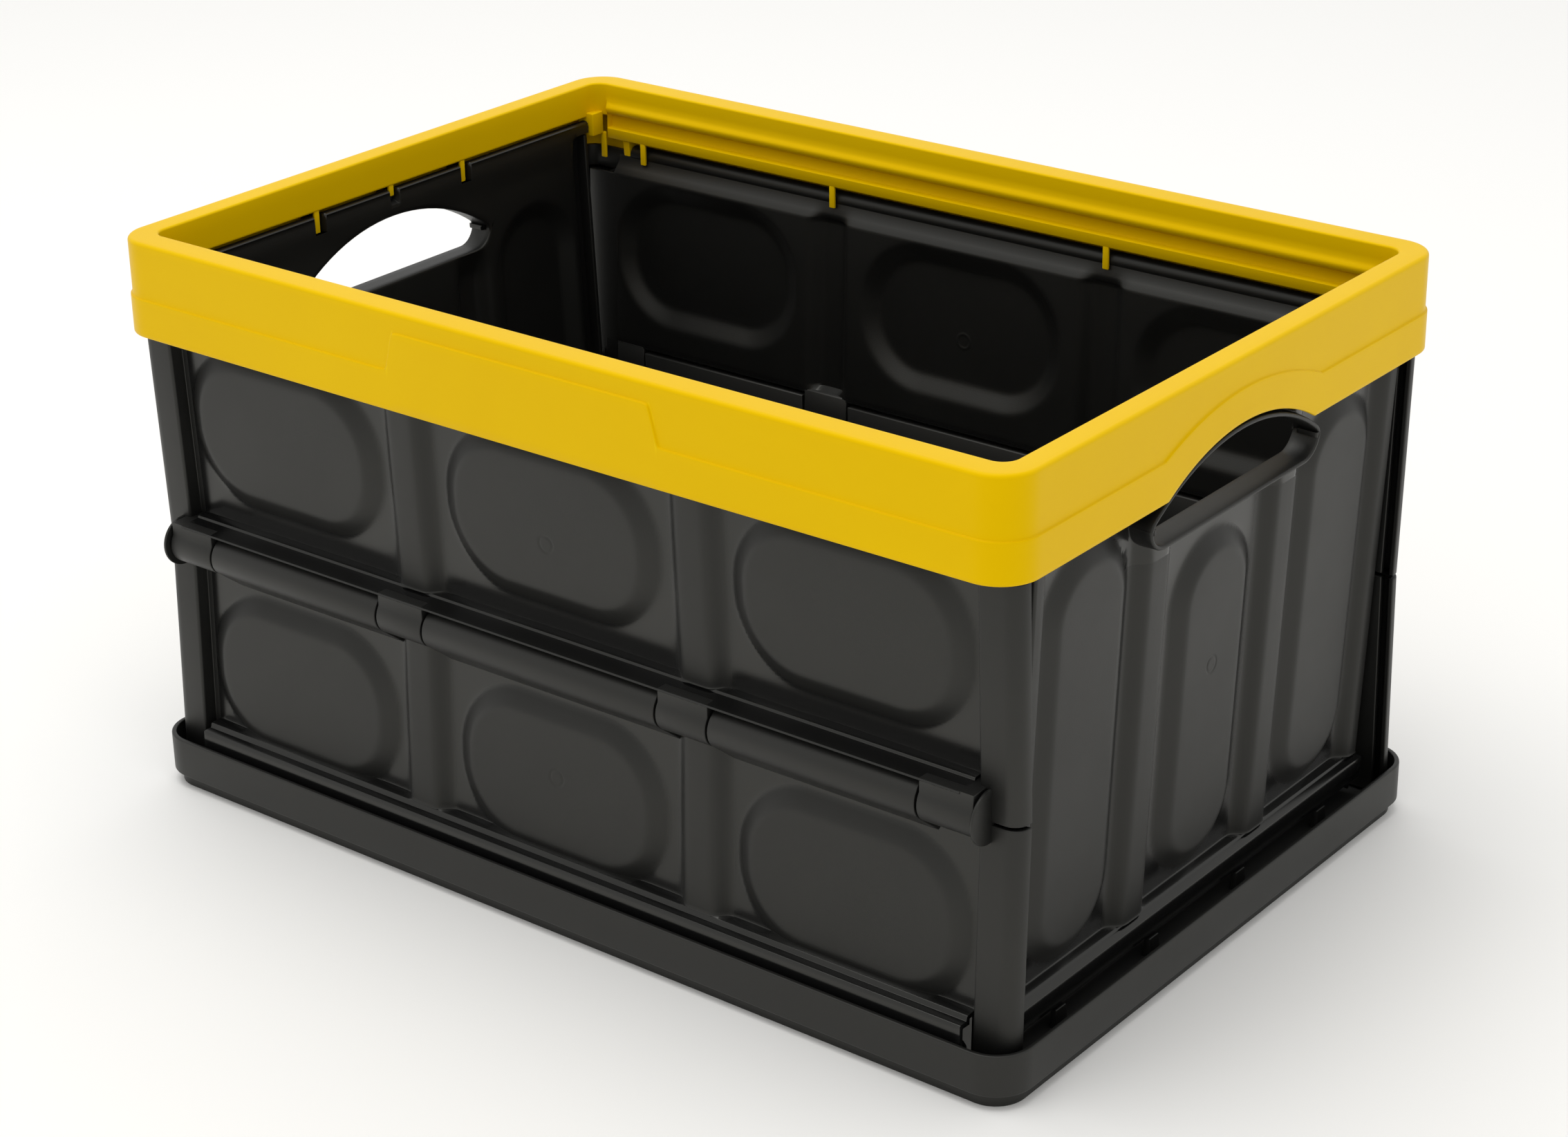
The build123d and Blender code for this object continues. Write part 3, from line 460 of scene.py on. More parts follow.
def rib(depth):
    """Raised rib: its flank climbs 6.7 over 5.5, more softly than an oval's."""
    return RIB_RAISE * ramp(depth, RIB_BORDER, RIB_SOFT)


def gate_ring(distance):
    """Groove round the gate where the plastic was fed in: -0.3 exp(-((r - 4) / 0.5)^2)."""
    return -GATE_DEPTH * np.exp(-(((distance - GATE_RADIUS) / GATE_REACH) ** 2))


def leaf_relief(oval_level, gate_level):
    """Height of a long leaf's face: the sum of three ovals 131 by 85, two ribs 28 wide and a
    gate ring 8 across on its middle line."""

    def relief(u, v, inset):
        height = 0 * (u + v)
        for centre in OVAL_CENTRES:
            height = height + oval(
                depth_in(u, v, (centre, oval_level), OVAL_SIZE, OVAL_CORNER) - inset
            )
        for centre in RIB_CENTRES:
            height = height + rib(RIB_HALF - abs(u - centre) - inset)
        return height + gate_ring(np.hypot(u, v - gate_level))

    return relief


POST_OUT, POST_CREST, POST_BACK = 264.3, 7.6, -2.0
POST_CORNER = 8.0


def leaf_posts(low, high, place):
    """Hollow posts at both ends of a leaf, steep on the inside, with an 8 mm outer corner."""
    section = rounded(
        [
            (238.0, -0.2),
            (243.2, 0.0),
            (243.7, POST_CREST),
            (POST_OUT, POST_CREST),
            (POST_OUT, POST_BACK),
            (POST_OUT - LEAF_THICK, POST_BACK),
            (POST_OUT - LEAF_THICK, POST_CREST - LEAF_THICK),
            (246.4, POST_CREST - LEAF_THICK),
            (245.8, 0.0),
            (258.0, 0.0),
            (258.0, -LEAF_THICK),
            (238.0, -LEAF_THICK),
        ],
        [0.1, 0.5, 1.5, POST_CORNER, 0.6, 0.6, 5.5, 0.6, 0.4, 0.4, 0.6, 0.3],
        9,
    )
    return [prism(section, low, high, up_leaf(place, end), 0.7) for end in (-1, 1)]


def post_necks(low, high, place):
    """The posts' outer walls carried on up a leaf, behind the rim's skirt."""
    section = rounded(
        [
            (238.2, POST_CREST - LEAF_THICK),
            (238.2, POST_CREST),
            (POST_OUT, POST_CREST),
            (POST_OUT, POST_BACK),
            (POST_OUT - LEAF_THICK, POST_BACK),
            (POST_OUT - LEAF_THICK, POST_CREST - LEAF_THICK),
        ],
        [0.5, 0.8, POST_CORNER, 0.6, 0.6, 5.5],
        9,
    )
    return [prism(section, low, high, up_leaf(place, end), 0.5) for end in (-1, 1)]


def both_ends(spans):
    """Spans and their mirror images."""
    return [*spans, *((-b, -a) for a, b in spans)]


def arc(centre, radius, first, last, steps):
    """Points on a circle between two angles in degrees: centre + radius (cos a, sin a)."""
    angle = np.radians(np.linspace(first, last, steps))
    return np.stack([centre[0] + radius * np.cos(angle), centre[1] + radius * np.sin(angle)], 1)


leaf_us = stations(-240, 240, 1.6, (0, 6, 0.6))
# Upper leaf, rows (w, v, share of the relief): the hem over the short knuckles and its tread, the
# face, the flange into the top barrel, and down the back.
upper_vs = stations(15.4, 110.4, 1.6, (UPPER_GATE, 6, 0.6))
upper_outer = np.array(
    [(-2.5, 11.6, 0), (16.9, 11.6, 0), (17.6, 12.3, 0), (17.2, 13.1, 0), (6.2, 13.3, 0)]
    + [(5.8, 13.5, 0), (5.6, 14.2, 0), (5.2, 14.5, 0), (0.6, 14.6, 0.97), (0.1, 14.8, 1)]
    + [(0.0, v, 1) for v in upper_vs]
    + [(0.4, 111.3, 0.8), (1.5, 112.7, 0.4), (5.5, 117.2, 0), (6.4, 118.6, 0), (7.0, 121.8, 0)]
)
upper_inner = np.array(
    [(3.1, 121.8, 0), (2.6, 118.4, 0), (0.4, 115.6, 0.2), (-2.2, 112.5, 0.6), (-2.5, 111.6, 0.8)]
    + [(-LEAF_THICK, v, 1) for v in upper_vs[::-1]]
)
# Lower leaf: the foot rail's two treads, each turned out over the next, and the face.
lower_vs = stations(-100.6, -11.6, 1.6, (LOWER_GATE, 6, 0.6))
lower_outer = np.array(
    [(-2.5, -103.5, 0), (4.5, -103.5, 0), (4.5, -106.5, 0), (9.6, -106.5, 0), (9.6, -121.0, 0)]
    + [(11.4, -121.0, 0), (12.0, -120.4, 0), (12.0, -104.6, 0), (11.5, -104.0, 0), (7.4, -103.9, 0)]
    + [(6.9, -103.5, 0), (6.6, -102.0, 0), (6.1, -101.4, 0), (0.6, -101.0, 0.97), (0.1, -100.8, 1)]
    + [(0.0, v, 1) for v in lower_vs]
)
lower_inner = np.array([(-LEAF_THICK, v, 1) for v in lower_vs[::-1]])

# Knuckles: short ones belong to the upper leaf and long ones to the lower. Each is a profile in
# (w, v) round the fold pin, and the seat is the hollow that a short one turns in.
LONG_KNUCKLES = [(-72.1, 72.1), *both_ends([(103.5, 217.6)])]
SHORT_KNUCKLES = both_ends([(73.3, 102.3), (218.8, 247.2)])
SEAT_ROUND = 11.5
BARREL_LEVEL, BARREL_OUT, BARREL_ROUND, BARREL_HALF = 123.0, 7.0, 4.5, 231.8
WEB_FOOT = -20.0
short_knuckle = np.concatenate(
    [
        [(-LEAF_THICK, -4.6), (-LEAF_THICK, 12.4), (-1.7, 13.2), (17.0, 13.2)],
        arc((FOLD_SETBACK, 0), FOLD_ROUND, 38, -150, 30),
    ]
)
# The long knuckle's web meets its round where a line from (0, -20) touches it: the angle to that
# point plus acos(round / distance).
to_web = math.atan2(WEB_FOOT, -FOLD_SETBACK)
touch = math.degrees(to_web + math.acos(FOLD_ROUND / math.hypot(FOLD_SETBACK, WEB_FOOT)))
long_knuckle = np.concatenate(
    [
        [(-LEAF_THICK, WEB_FOOT), (-0.4, -20.3)],
        arc((FOLD_SETBACK, 0), FOLD_ROUND, touch, 84, 40),
        [(8.0, 9.9), (-2.0, 9.9), (-LEAF_THICK, 9.4)],
    ]
)
seat = np.concatenate(
    [
        [(-LEAF_THICK, -7.0), (0.0, -7.0)],
        arc((FOLD_SETBACK, 0), SEAT_ROUND, 216, 248, 8),
        [(5.0, -12.2), (0.0, -14.5), (-LEAF_THICK, -14.5)],
    ]
)
top_barrel = arc((BARREL_OUT, BARREL_LEVEL), BARREL_ROUND, 0, 350, 36)
foot_barrel = arc((BARREL_OUT, -BARREL_LEVEL), BARREL_ROUND, 0, 350, 36)
for side, wall in ((-1, "front"), (1, "rear")):
    anchor = (0, side * FOLD_OUT, FOLD_LEVEL)
    upper_place = leaf_place(anchor, (0, side, 0), LEAF_LEAN, FOLD_SETBACK)
    lower_place = leaf_place(anchor, (0, side, 0), -LEAF_LEAN, FOLD_SETBACK)

    relief = leaf_relief(UPPER_OVAL, UPPER_GATE)
    shells = [skin(upper_place, leaf_us, upper_outer, upper_inner, relief, LEAF_THICK)]
    shells += leaf_posts(-3.4, 112.0, upper_place)
    shells += post_necks(110.0, 124.0, upper_place)
    for first, last in SHORT_KNUCKLES:
        shells.append(prism(short_knuckle, first, last, along_leaf(upper_place), 0.5))
    shells.append(prism(top_barrel, -BARREL_HALF, BARREL_HALF, along_leaf(upper_place), 0.4))
    make_piece(
        f"{wall}_upper_leaf",
        shells,
        black_plastic,
        "carcass",
        f"{wall}_upper_panel",
    )

    relief = leaf_relief(LOWER_OVAL, LOWER_GATE)
    shells = [skin(lower_place, leaf_us, lower_outer, lower_inner, relief, LEAF_THICK)]
    shells += leaf_posts(-126.0, -4.6, lower_place)
    for first, last in LONG_KNUCKLES:
        shells.append(prism(long_knuckle, first, last, along_leaf(lower_place), 0.5))
    for first, last in SHORT_KNUCKLES:
        shells.append(prism(seat, first, last, along_leaf(lower_place), 0.2))
    shells.append(prism(foot_barrel, -BARREL_HALF, BARREL_HALF, along_leaf(lower_place), 0.4))
    make_piece(
        f"{wall}_lower_leaf",
        shells,
        black_plastic,
        "carcass",
        f"{wall}_lower_panel",
    )

# Fold pins: round studs moulded in the same black plastic as the walls and pushed in from both
# ends of each fold line. A broad flat head closes the bore at the post.

HEAD_ROUND, SHANK_ROUND = 13.0, 3.0
for side, wall in ((-1, "front"), (1, "rear")):
    for end, hand in ((-1, "left"), (1, "right")):
        head = arc((side * FOLD_OUT, FOLD_LEVEL), HEAD_ROUND, 0, 354, 60)
        shank = arc((side * FOLD_OUT, FOLD_LEVEL), SHANK_ROUND, 0, 345, 24)
        shells = [
            prism(head, 248.4, 249.9, along_x(end), 0.5),
            prism(shank, 2.0, 249.0, along_x(end), 0.3),
        ]
        make_piece(
            f"{wall}_{hand}_fold_stub",
            shells,
            black_plastic,
            "carcass",
            f"{wall}_{hand}_fold_pin",
        )

# End walls: one black leaf each, hung from the rim on a barrel along its top edge. A collar
# stands out round the grip opening for the fingers, and a lip along the foot stiffens it.

END_HALF, END_FOOT = 155.3, -264.3
END_PIN_OUT, END_PIN_LEVEL, END_LEAN, END_SETBACK = 255.2, 276.0, 2.58, -1.0
END_OVAL_WIDTH, END_OVAL_CORNER, END_OVAL_FOOT = 68.0, 33.5, -237.0
END_OVALS = ((-107.0, -31.0), (107.0, -31.0), (0.0, -62.0))
END_RIB = 55.0
END_GATE = -130.0
EDGE_CORNER = 2.0
GRIP_WINDOW = (80.0, -56.0, -5.0)
POCKET_STEP = 5.2
BARREL_SWELL = 1.4
end_us = stations(
    -END_HALF,
    END_HALF,
    1.6,
    (0, 6, 0.4),
    (-END_RIB, 5, 0.4),
    (END_RIB, 5, 0.4),
    (-154.2, 1.1, 0.25),
    (154.2, 1.1, 0.25),
)
end_vs = stations(-239.4, -4.6, 1.6, (END_GATE, 6, 0.6))


def end_relief(u, v, inset):
    """Height of an end wall's face: the sum of three upright ovals 68 wide, two ribs 28 wide,
    half a rib along both edges with a 2 mm corner, 2 (1 - sqrt(1 - x^2)), and a gate ring. The
    ribs' backs are filled above the foot of the grip."""
    height = 0 * (u + v)
    for centre, top in END_OVALS:
        middle, size = (top + END_OVAL_FOOT) / 2, (END_OVAL_WIDTH, top - END_OVAL_FOOT)
        height = height + oval(depth_in(u, v, (centre, middle), size, END_OVAL_CORNER) - inset)
    for centre in (-END_RIB, END_RIB):
        deep = ramp(-48.0 - v, 12.0, 3.0) if inset > 0 else 1.0
        height = height + deep * rib(RIB_HALF - abs(u - centre) - inset)
    height = height + rib(abs(u) - (END_HALF - RIB_HALF) - inset)
    over = np.clip((abs(u) - (END_HALF - EDGE_CORNER)) / EDGE_CORNER, 0, 1) * (inset == 0)
    height = height - EDGE_CORNER * (1 - np.sqrt(1 - over**2))
    return height + gate_ring(np.hypot(u, v - END_GATE))


def finger_room(u, v):
    """Pockets 7 wide that give the rim's fingers room: the top edge steps out 5.2 there, deeper
    down at the ribs than at the middle."""
    at_ribs = ramp(3.8 - abs(abs(u) - END_RIB), 0.5, 0.1) * ramp(v + 15.0, 3.0, 0.5)
    at_middle = ramp(3.2 - abs(u), 0.5, 0.1) * ramp(v + 4.4, 1.2, 0.2)
    return POCKET_STEP * (at_ribs + at_middle)


def back_depth(v):
    """Level of an end wall's back: it thickens by 1.4 into the barrel along its top edge."""
    return -LEAF_THICK - BARREL_SWELL * ramp(v + 17.0, 12.0, 2.0)


def even_walk(outline, count):
    """count points spaced evenly along a closed outline, from its first point."""
    closed = np.vstack([outline, outline[:1]])
    walked = np.concatenate([[0], np.cumsum(np.linalg.norm(np.diff(closed, axis=0), axis=1))])
    marks = np.linspace(0, walked[-1], count, endpoint=False)
    return np.stack([np.interp(marks, walked, closed[:, k]) for k in (0, 1)], 1)


GRIP_HALF, GRIP_SILL = 71.0, -46.0
CROWN_ROUND, CROWN_CENTRE, CROWN_TURN = 117.0, -128.0, 37.4
SILL_CORNER, CROWN_CORNER = 11.0, 6.0


def grip_outline(grow):
    """Closed outline of the grip from the middle of its sill: flat sill, round ends, arched crown
    on a 117 mm radius, grown outward by an amount."""
    crown = arc((0, CROWN_CENTRE), CROWN_ROUND, 90 - CROWN_TURN, 90 + CROWN_TURN, 25)
    sill = [(0, GRIP_SILL), (GRIP_HALF, GRIP_SILL)]
    corners = np.vstack([sill, crown, [(-GRIP_HALF, GRIP_SILL)]])
    radii = np.zeros(len(corners))
    radii[[1, -1]] = SILL_CORNER
    radii[[2, -2]] = CROWN_CORNER
    outline = even_walk(rounded(corners, radii, 9), 720)
    ahead = np.roll(outline, -1, 0) - np.roll(outline, 1, 0)
    out = np.stack([ahead[:, 1], -ahead[:, 0]], 1)
    return outline + grow * out / np.linalg.norm(out, axis=1)[:, None]


def collar(place, us, vs):
    """Ring of skin from the window's edge to the grip, out round the collar, in through the
    opening and back to the window's edge behind. Every row has as many points as the edge, and
    share moves a row from the grip's outline (0) to the edge (1)."""
    inside_u = us[abs(us) <= GRIP_WINDOW[0]]
    inside_v = vs[(vs >= GRIP_WINDOW[1]) & (vs <= GRIP_WINDOW[2])]
    right_u = inside_u[inside_u >= 0]
    left_u = inside_u[inside_u < 0]
    edge = np.concatenate(
        [
            np.stack([right_u, 0 * right_u + inside_v[0]], 1),
            np.stack([0 * inside_v[1:] + inside_u[-1], inside_v[1:]], 1),
            np.stack([inside_u[-2::-1], 0 * inside_u[:-1] + inside_v[-1]], 1),
            np.stack([0 * inside_v[-2::-1] + inside_u[0], inside_v[-2::-1]], 1),
            np.stack([left_u[1:], 0 * left_u[1:] + inside_v[0]], 1),
        ]
    )
    count = len(edge)
    rows = []

    def row(grow, share, w, relief_inset):
        """One row at a level w, or at the back's own level, lifted by the relief if it has one."""
        outline = even_walk(grip_outline(grow), count)
        flat = outline + (edge - outline) * share
        lift = 0
        w = back_depth(flat[:, 1]) if w is None else w
        if relief_inset is not None:
            lift = end_relief(flat[:, 0], flat[:, 1], relief_inset)
        rows.append(place(flat[:, 0], flat[:, 1], w + lift))

    for share in (1.0, 0.75, 0.5, 0.25, 0.08):
        row(3.4, share, 0.0, 0.0)
    row(3.2, 0.0, 0.0, 0.0)
    row(2.5, 0.0, 0.3, 0.0)
    for grow, w in ((2.2, 8.0), (2.2, 10.6), (1.9, 11.2), (1.4, 11.5), (0.8, 11.5), (0.3, 11.2)):
        row(grow, 0.0, w, None)
    for grow, w in ((0.0, 10.6), (0.0, 6.0), (0.0, 1.0), (0.0, -1.8), (0.3, -2.3), (0.8, -2.5)):
        row(grow, 0.0, w, None)
    for share in (0.08, 0.25, 0.5, 0.75, 1.0):
        row(1.4, share, None, BACK_INSET * LEAF_THICK)
    grained = np.ones((len(rows), count))
    grained[:6] = 0
    vertices, faces = weave(np.array(rows), wrap_columns=True)
    return vertices, faces, grained.ravel()


def weld(first, second):
    """Two grids of points and faces as one, so that they can be turned outward together."""
    points = np.concatenate([first[0], second[0]])
    faces = first[1] + [[k + len(first[0]) for k in f] for f in second[1]]
    return points, faces, np.concatenate([first[2], second[2]])


# Rows (w, v, share of the relief): the foot rail's two treads, the face, round the barrel that
# the wall swings on, and down the back.
end_outer = np.array(
    [(-LEAF_THICK, END_FOOT, 0), (0.0, END_FOOT, 0), (0.0, -244.2, 0), (7.0, -244.2, 0)]
    + [(7.0, -254.0, 0)]
    + [(8.9, -254.0, 0), (9.4, -253.5, 0), (9.4, -242.6, 0), (9.0, -242.1, 0), (5.4, -241.9, 0)]
    + [(5.0, -241.5, 0), (4.8, -240.9, 0), (4.4, -240.6, 0), (0.6, -240.2, 0.97), (0.1, -239.9, 1)]
    + [(0.0, v, 1) for v in end_vs]
    + [(0.6, -3.7, 0.4), *((a, b, 0) for a, b in arc((-1, 0), 4.0, -55, 136, 14))]
)
end_inner = np.array(
    [(-3.9, 0.0, 0), (-3.9, -2.8, 0)] + [(back_depth(v), v, 1) for v in end_vs[::-1]]
)
stile_section = [(152.9, -LEAF_THICK), (END_HALF, -LEAF_THICK), (END_HALF, 4.6), (152.9, 5.2)]
stile_section = rounded(stile_section, 0.4, 4)
for end, hand in ((-1, "left"), (1, "right")):
    pin_line = (end * END_PIN_OUT, 0, END_PIN_LEVEL)
    place = leaf_place(pin_line, (end, 0, 0), END_LEAN, END_SETBACK)
    panel = skin(
        place, end_us, end_outer, end_inner, end_relief, LEAF_THICK, GRIP_WINDOW, finger_room
    )
    shells = [weld(panel, collar(place, end_us, end_vs))]
    for stile in (-1, 1):
        shells.append(prism(stile_section, -262.0, -4.0, up_leaf(place, stile), 0.5))
    make_piece(
        f"{hand}_end_leaf",
        shells,
        black_plastic,
        f"{hand}_end",
        f"{hand}_end_panel",
    )

# Rim: one yellow polypropylene moulding, smoother than the walls. Its skirt hangs outside them,
# steps out in a lower band, and is arched over both grips. A ledge runs along the inside.

# Yellow polypropylene, moulded: opaque and strongly coloured, so its reflections stay soft and
# take the yellow with them. Both finishes are near alike.
yellow_plastic = moulded_plastic(
    "yellow_polypropylene",
    grained=("#e4ba00", "#e1b600", 0.38),
    polished=("#e4ba00", "#e1b600", 0.34),
    specular=0.13,
    tint="#ffe45a",
    rubbed_colour="#e8c208",
    grain_mm=0.8,
    grain_depth=0.12,
)
RIM_LENGTH, RIM_WIDTH, RIM_CORNER = 534.6, 363.2, 19.0
MOUTH_LENGTH, MOUTH_WIDTH, MOUTH_CORNER = 508.8, 333.2, 8.0
RIM_TOP, RIM_LOW, RIM_BEND = 300.0, 251.0, 2.0
SKIRT_THICK = 2.5
BAND_TOP, BAND_OUT = 271.0, 1.0
PLAQUE_HALF, PLAQUE_RAISE = 82.0, 19.4
MOUTH_BEND = 1.2
LEDGE_TOP, LEDGE_LOW = 293.0, 282.0
half_x, half_y = RIM_LENGTH / 2 - RIM_CORNER, RIM_WIDTH / 2 - RIM_CORNER
rim_share_x = stations(-half_x, half_x, 3.0, (-79.5, 9, 0.4), (79.5, 9, 0.4)) / half_x
rim_share_y = stations(-half_y, half_y, 2.0, (-65, 6, 0.5), (65, 6, 0.5)) / half_y
outer_track = rounded_track(RIM_LENGTH, RIM_WIDTH, RIM_CORNER, rim_share_x, rim_share_y)
mouth_track = rounded_track(MOUTH_LENGTH, MOUTH_WIDTH, MOUTH_CORNER, rim_share_x, rim_share_y)
across_x, across_y = outer_track[0].T
# 1 on the end walls' sides of the rim, 0 on the long sides, between the two round a corner.
at_end = abs(outer_track[1][:, 0])
on_end = at_end > 0.999


def arch(radius, centre_z):
    """Level of an arch over the grip: centre + sqrt(radius^2 - y^2)."""
    return np.sqrt(np.maximum(radius**2 - across_y**2, 0)) + centre_z


# The band's top edge climbs into the plaque on the long sides and over the grips at the ends.
plaque = ramp(PLAQUE_HALF - abs(across_x), 5.0, 0.7) * (at_end < 0.5)
step_z = BAND_TOP + PLAQUE_RAISE * plaque
step_z = np.where(on_end, np.maximum(step_z, arch(167.0, 118.0)), step_z)
low_z = np.where(on_end, np.maximum(RIM_LOW, arch(122.0, 146.5)), RIM_LOW)
skirt_height = step_z - low_z
strides = np.diff(outer_track[0] + outer_track[1] * RIM_CORNER, axis=0)
walked = np.concatenate([[0], np.cumsum(np.linalg.norm(strides, axis=1))])
steep = np.hypot(1, np.clip(np.gradient(step_z, walked), -5, 5))
one = np.ones_like(step_z)
rows = []


def rim_row(track, corner, out, height):
    """One row of the rim: a distance outside its track and a level at every station."""
    rows.append(ring(track, corner, (out * one)[None], (height * one)[None])[0])


# Up the outside: (out, above) round the skirt's foot, the band, (out, above) round its top edge,
# the face above it, and the bend to the top.
skirt_foot = [(-1.5, 3.0), (-1.5, 0.7), (-1.2, 0.2), (-0.7, 0.0), (0.2, 0.0), (0.7, 0.2)]
band_edge = [(BAND_OUT, -0.7), (0.95, -0.35), (0.75, -0.1), (0.4, 0.0), (0.1, 0.15), (0.0, 0.5)]
for out, above in [*skirt_foot, (BAND_OUT, 0.7)]:
    rim_row(outer_track, RIM_CORNER, out, low_z + above)
for share in np.linspace(0.12, 0.9, 6):
    rim_row(outer_track, RIM_CORNER, BAND_OUT, low_z + skirt_height * share)
for out, above in band_edge:
    rim_row(outer_track, RIM_CORNER, out, step_z + above * steep)
for share in np.linspace(0.1, 0.95, 7):
    rim_row(outer_track, RIM_CORNER, 0.0, step_z + (297.8 - step_z) * share)
for turn in np.radians(np.linspace(0, 90, 7)):
    out, level = RIM_BEND * math.cos(turn) - RIM_BEND, RIM_TOP - RIM_BEND
    rim_row(outer_track, RIM_CORNER, out, level + RIM_BEND * math.sin(turn))
# Across the flat top and over the bend into the mouth.
top_from = rows[-1]
rim_row(mouth_track, MOUTH_CORNER, MOUTH_BEND, RIM_TOP)
top_to = rows.pop()
rows += [top_from + (top_to - top_from) * share for share in (0.25, 0.5, 0.75, 1.0)]
for turn in np.radians(np.linspace(75, 0, 5)):
    out, level = MOUTH_BEND - MOUTH_BEND * math.cos(turn), RIM_TOP - MOUTH_BEND
    rim_row(mouth_track, MOUTH_CORNER, out, level + MOUTH_BEND * math.sin(turn))
# Down the inside, (out, level): the ledge's swelling and the web behind it on the long sides, and
# a plain wall round the corners and along the ends.
ledge = [(0.0, 293.0), (-0.1, 289.8), (-1.0, 288.2), (-2.1, 287.2), (-2.4, 286.0), (-2.1, 284.6)]
ledge += [(-1.2, 283.2), (0.0, 282.5), (2.5, 282.3), (2.8, 281.9), (2.8, 275.6), (2.4, 275.1)]
ledge += [(-1.0, 275.0), (-1.5, 274.6), (-1.5, 269.5), (-1.1, 269.0), (1.6, 269.0), (2.2, 269.3)]
ledge += [(5.2, 272.5), (5.4, 285.0), (5.4, 296.0)]
plain = [(0.0, LEDGE_TOP - (LEDGE_TOP - LEDGE_LOW) * k / 15) for k in range(16)]
plain += [(0.5, 281.5), (1.2, 281.5), (2.0, 281.5), (2.5, 282.0), (2.5, 296.0)]
turning = (at_end > 0.02) * 1.0
for (ledge_out, ledge_z), (plain_out, plain_z) in zip(ledge, plain):
    out = ledge_out + (plain_out - ledge_out) * turning
    rim_row(mouth_track, MOUTH_CORNER, out, ledge_z + (plain_z - ledge_z) * turning)
# Back down the skirt's own inner face.
rim_row(outer_track, RIM_CORNER, -4.0, 297.3)
rim_row(outer_track, RIM_CORNER, -SKIRT_THICK, 296.0)
rim_row(outer_track, RIM_CORNER, -SKIRT_THICK, (step_z + 296.0) / 2)
rim_row(outer_track, RIM_CORNER, -1.8, low_z + skirt_height * 0.6)
rim_shells = [weave(np.array(rows), wrap_rows=True, wrap_columns=True)]
# Inside the skirt: fingers that hold the walls' top edges, ears for the upper leaves' pins, and
# brackets for the end walls' pins.
ear = [(173.0, 298.0), (173.0, 273.0), (167.0, 269.5), (168.0, 256.0), (173.5, 255.2)]
ear = rounded(ear + [(179.2, 258.0), (179.2, 298.0)], 0.8, 4)
FINGER_HALF = 1.8
FINGERS_X = (-250.0, -221.0, -87.5, 87.5, 221.0, 250.0)
FINGERS_Y = ((-END_RIB, 269.6), (0.0, 275.6), (END_RIB, 269.6))
for side in (-1, 1):
    for finger_x in FINGERS_X:
        low = (finger_x - FINGER_HALF, side * 165.2, 257.0)
        rim_shells.append(block(low, (finger_x + FINGER_HALF, side * 166.8, 272.0), 0.5))
    for end in (-1, 1):
        rim_shells.append(prism(ear, *EAR_SPAN, along_x(end, side)))
        bracket = (end * 249.8, side * 156.6, 271.0), (end * 261.0, side * 165.6, 284.0)
        rim_shells.append(block(*bracket, 0.6))
for end in (-1, 1):
    for finger_y, tip in FINGERS_Y:
        low = (end * 254.8, finger_y - FINGER_HALF, tip)
        rim_shells.append(block(low, (end * 256.4, finger_y + FINGER_HALF, 283.0), 0.5))
make_piece("rim", rim_shells, yellow_plastic, "carcass", "top_rim")

# Hidden hinge pins: twelve plain round studs in the black plastic, pushed through the ears and
# the brackets. They keep the shape they come with and only take the colour and the grain. The
# nodes that finished pieces replace don't show, so the loop may colour them too.

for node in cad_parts.values():
    grained = node.data.attributes.new("grained", "FLOAT", "POINT")
    grained.data.foreach_set("value", np.ones(len(grained.data)))
    node.data.materials.clear()
    node.data.materials.append(black_plastic)

# Floor: one wide sheet of white card under the crate. Its matt face takes a soft shadow and
# gives hardly any reflection.

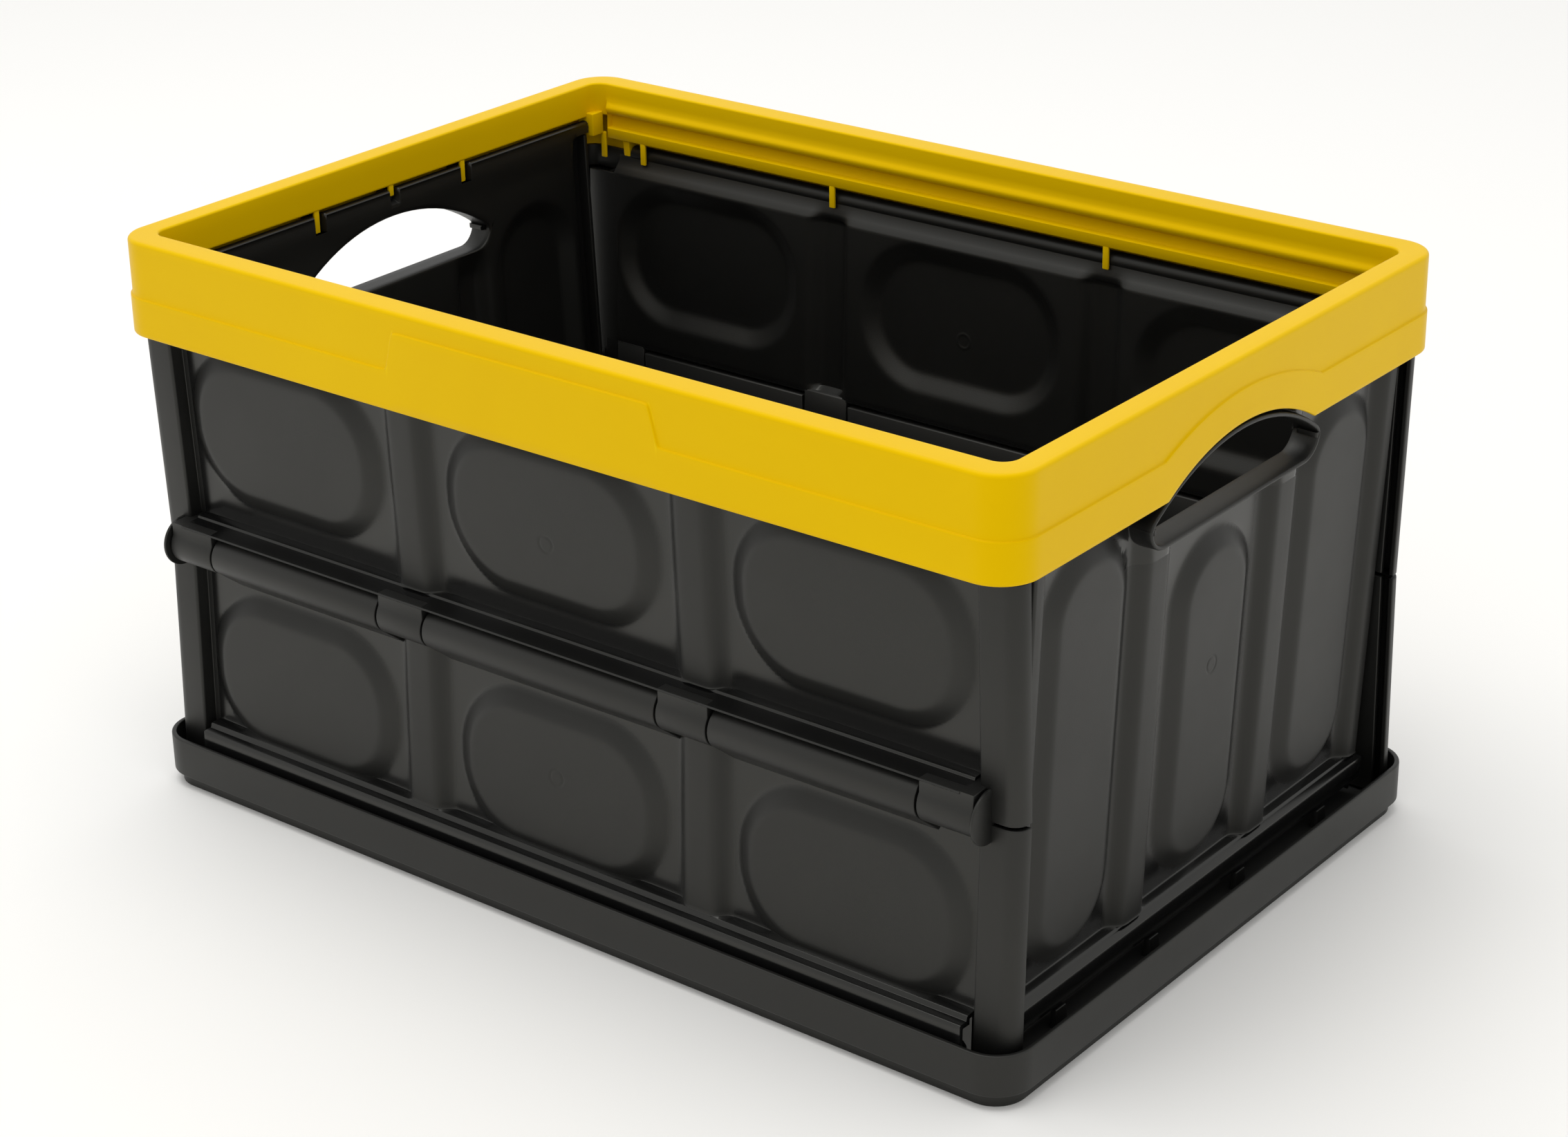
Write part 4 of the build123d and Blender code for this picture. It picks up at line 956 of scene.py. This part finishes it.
FLOOR_REACH = 9.0
card = bpy.data.materials.new("white_card")
card.use_nodes = True
card_face = card.node_tree.nodes["Principled BSDF"].inputs
card_face["Base Color"].default_value = linear("#f8f7f4")
card_face["Roughness"].default_value = 0.8
floor_mesh = bpy.data.meshes.new("floor")
turns = ((-1, -1), (1, -1), (1, 1), (-1, 1))
floor_corners = [(x * FLOOR_REACH, y * FLOOR_REACH, 0) for x, y in turns]
floor_mesh.from_pydata(floor_corners, [], [(0, 1, 2, 3)])
floor = bpy.data.objects.new("floor", floor_mesh)
bpy.context.scene.collection.objects.link(floor)
floor.data.materials.append(card)

# Light: a white room with one broad soft box overhead, so that the raised faces are lit evenly
# and the shadow under the crate stays soft.

ROOM_STRENGTH = 0.82
world = bpy.data.worlds.new("studio")
world.use_nodes = True
room = world.node_tree.nodes["Background"].inputs
room["Color"].default_value = (1, 1, 1, 1)
room["Strength"].default_value = ROOM_STRENGTH
bpy.context.scene.world = world


def aim(position, toward):
    """Matrix that puts a lamp or camera at a position with -Z toward a direction and X level:
    X is the direction crossed with up, and Y is X crossed with the direction."""
    toward = np.array(toward, float) / np.linalg.norm(toward)
    side = np.cross(toward, (0, 0, 1))
    side /= np.linalg.norm(side)
    axes = np.array([side, np.cross(side, toward), -toward]).T
    return Matrix.Translation(position) @ Matrix([(*row,) for row in axes]).to_4x4()


def soft_box(name, position, target, size, watts):
    """Square area light at a position, facing a target, in metres."""
    lamp = bpy.data.lights.new(name, "AREA")
    lamp.shape = "SQUARE"
    lamp.size = size
    lamp.energy = watts
    holder = bpy.data.objects.new(name, lamp)
    bpy.context.scene.collection.objects.link(holder)
    holder.matrix_world = aim(position, np.array(target) - np.array(position))


soft_box("overhead", (-0.35, -0.3, 2.6), (0, 0, 0.15), 2.0, 30)

# Camera: a long lens from the front right, looking down on the crate, level but for a slight roll.

VIEW_AZIMUTH, VIEW_ELEVATION, VIEW_ROLL = (math.radians(a) for a in (-51.6507, 24.0756, -0.8654))
CAMERA_AT = (0.94466, -1.18564, 0.8037)
lens = bpy.data.cameras.new("camera")
lens.sensor_width = 36.0
lens.lens = 75.447
camera = bpy.data.objects.new("camera", lens)
bpy.context.scene.collection.objects.link(camera)
level_reach = math.cos(VIEW_ELEVATION)
looking = (
    -level_reach * math.cos(VIEW_AZIMUTH),
    -level_reach * math.sin(VIEW_AZIMUTH),
    -math.sin(VIEW_ELEVATION),
)
camera.matrix_world = aim(CAMERA_AT, looking) @ Matrix.Rotation(VIEW_ROLL, 4, "Z")
bpy.context.scene.camera = camera
bpy.context.scene.view_settings.view_transform = "Standard"
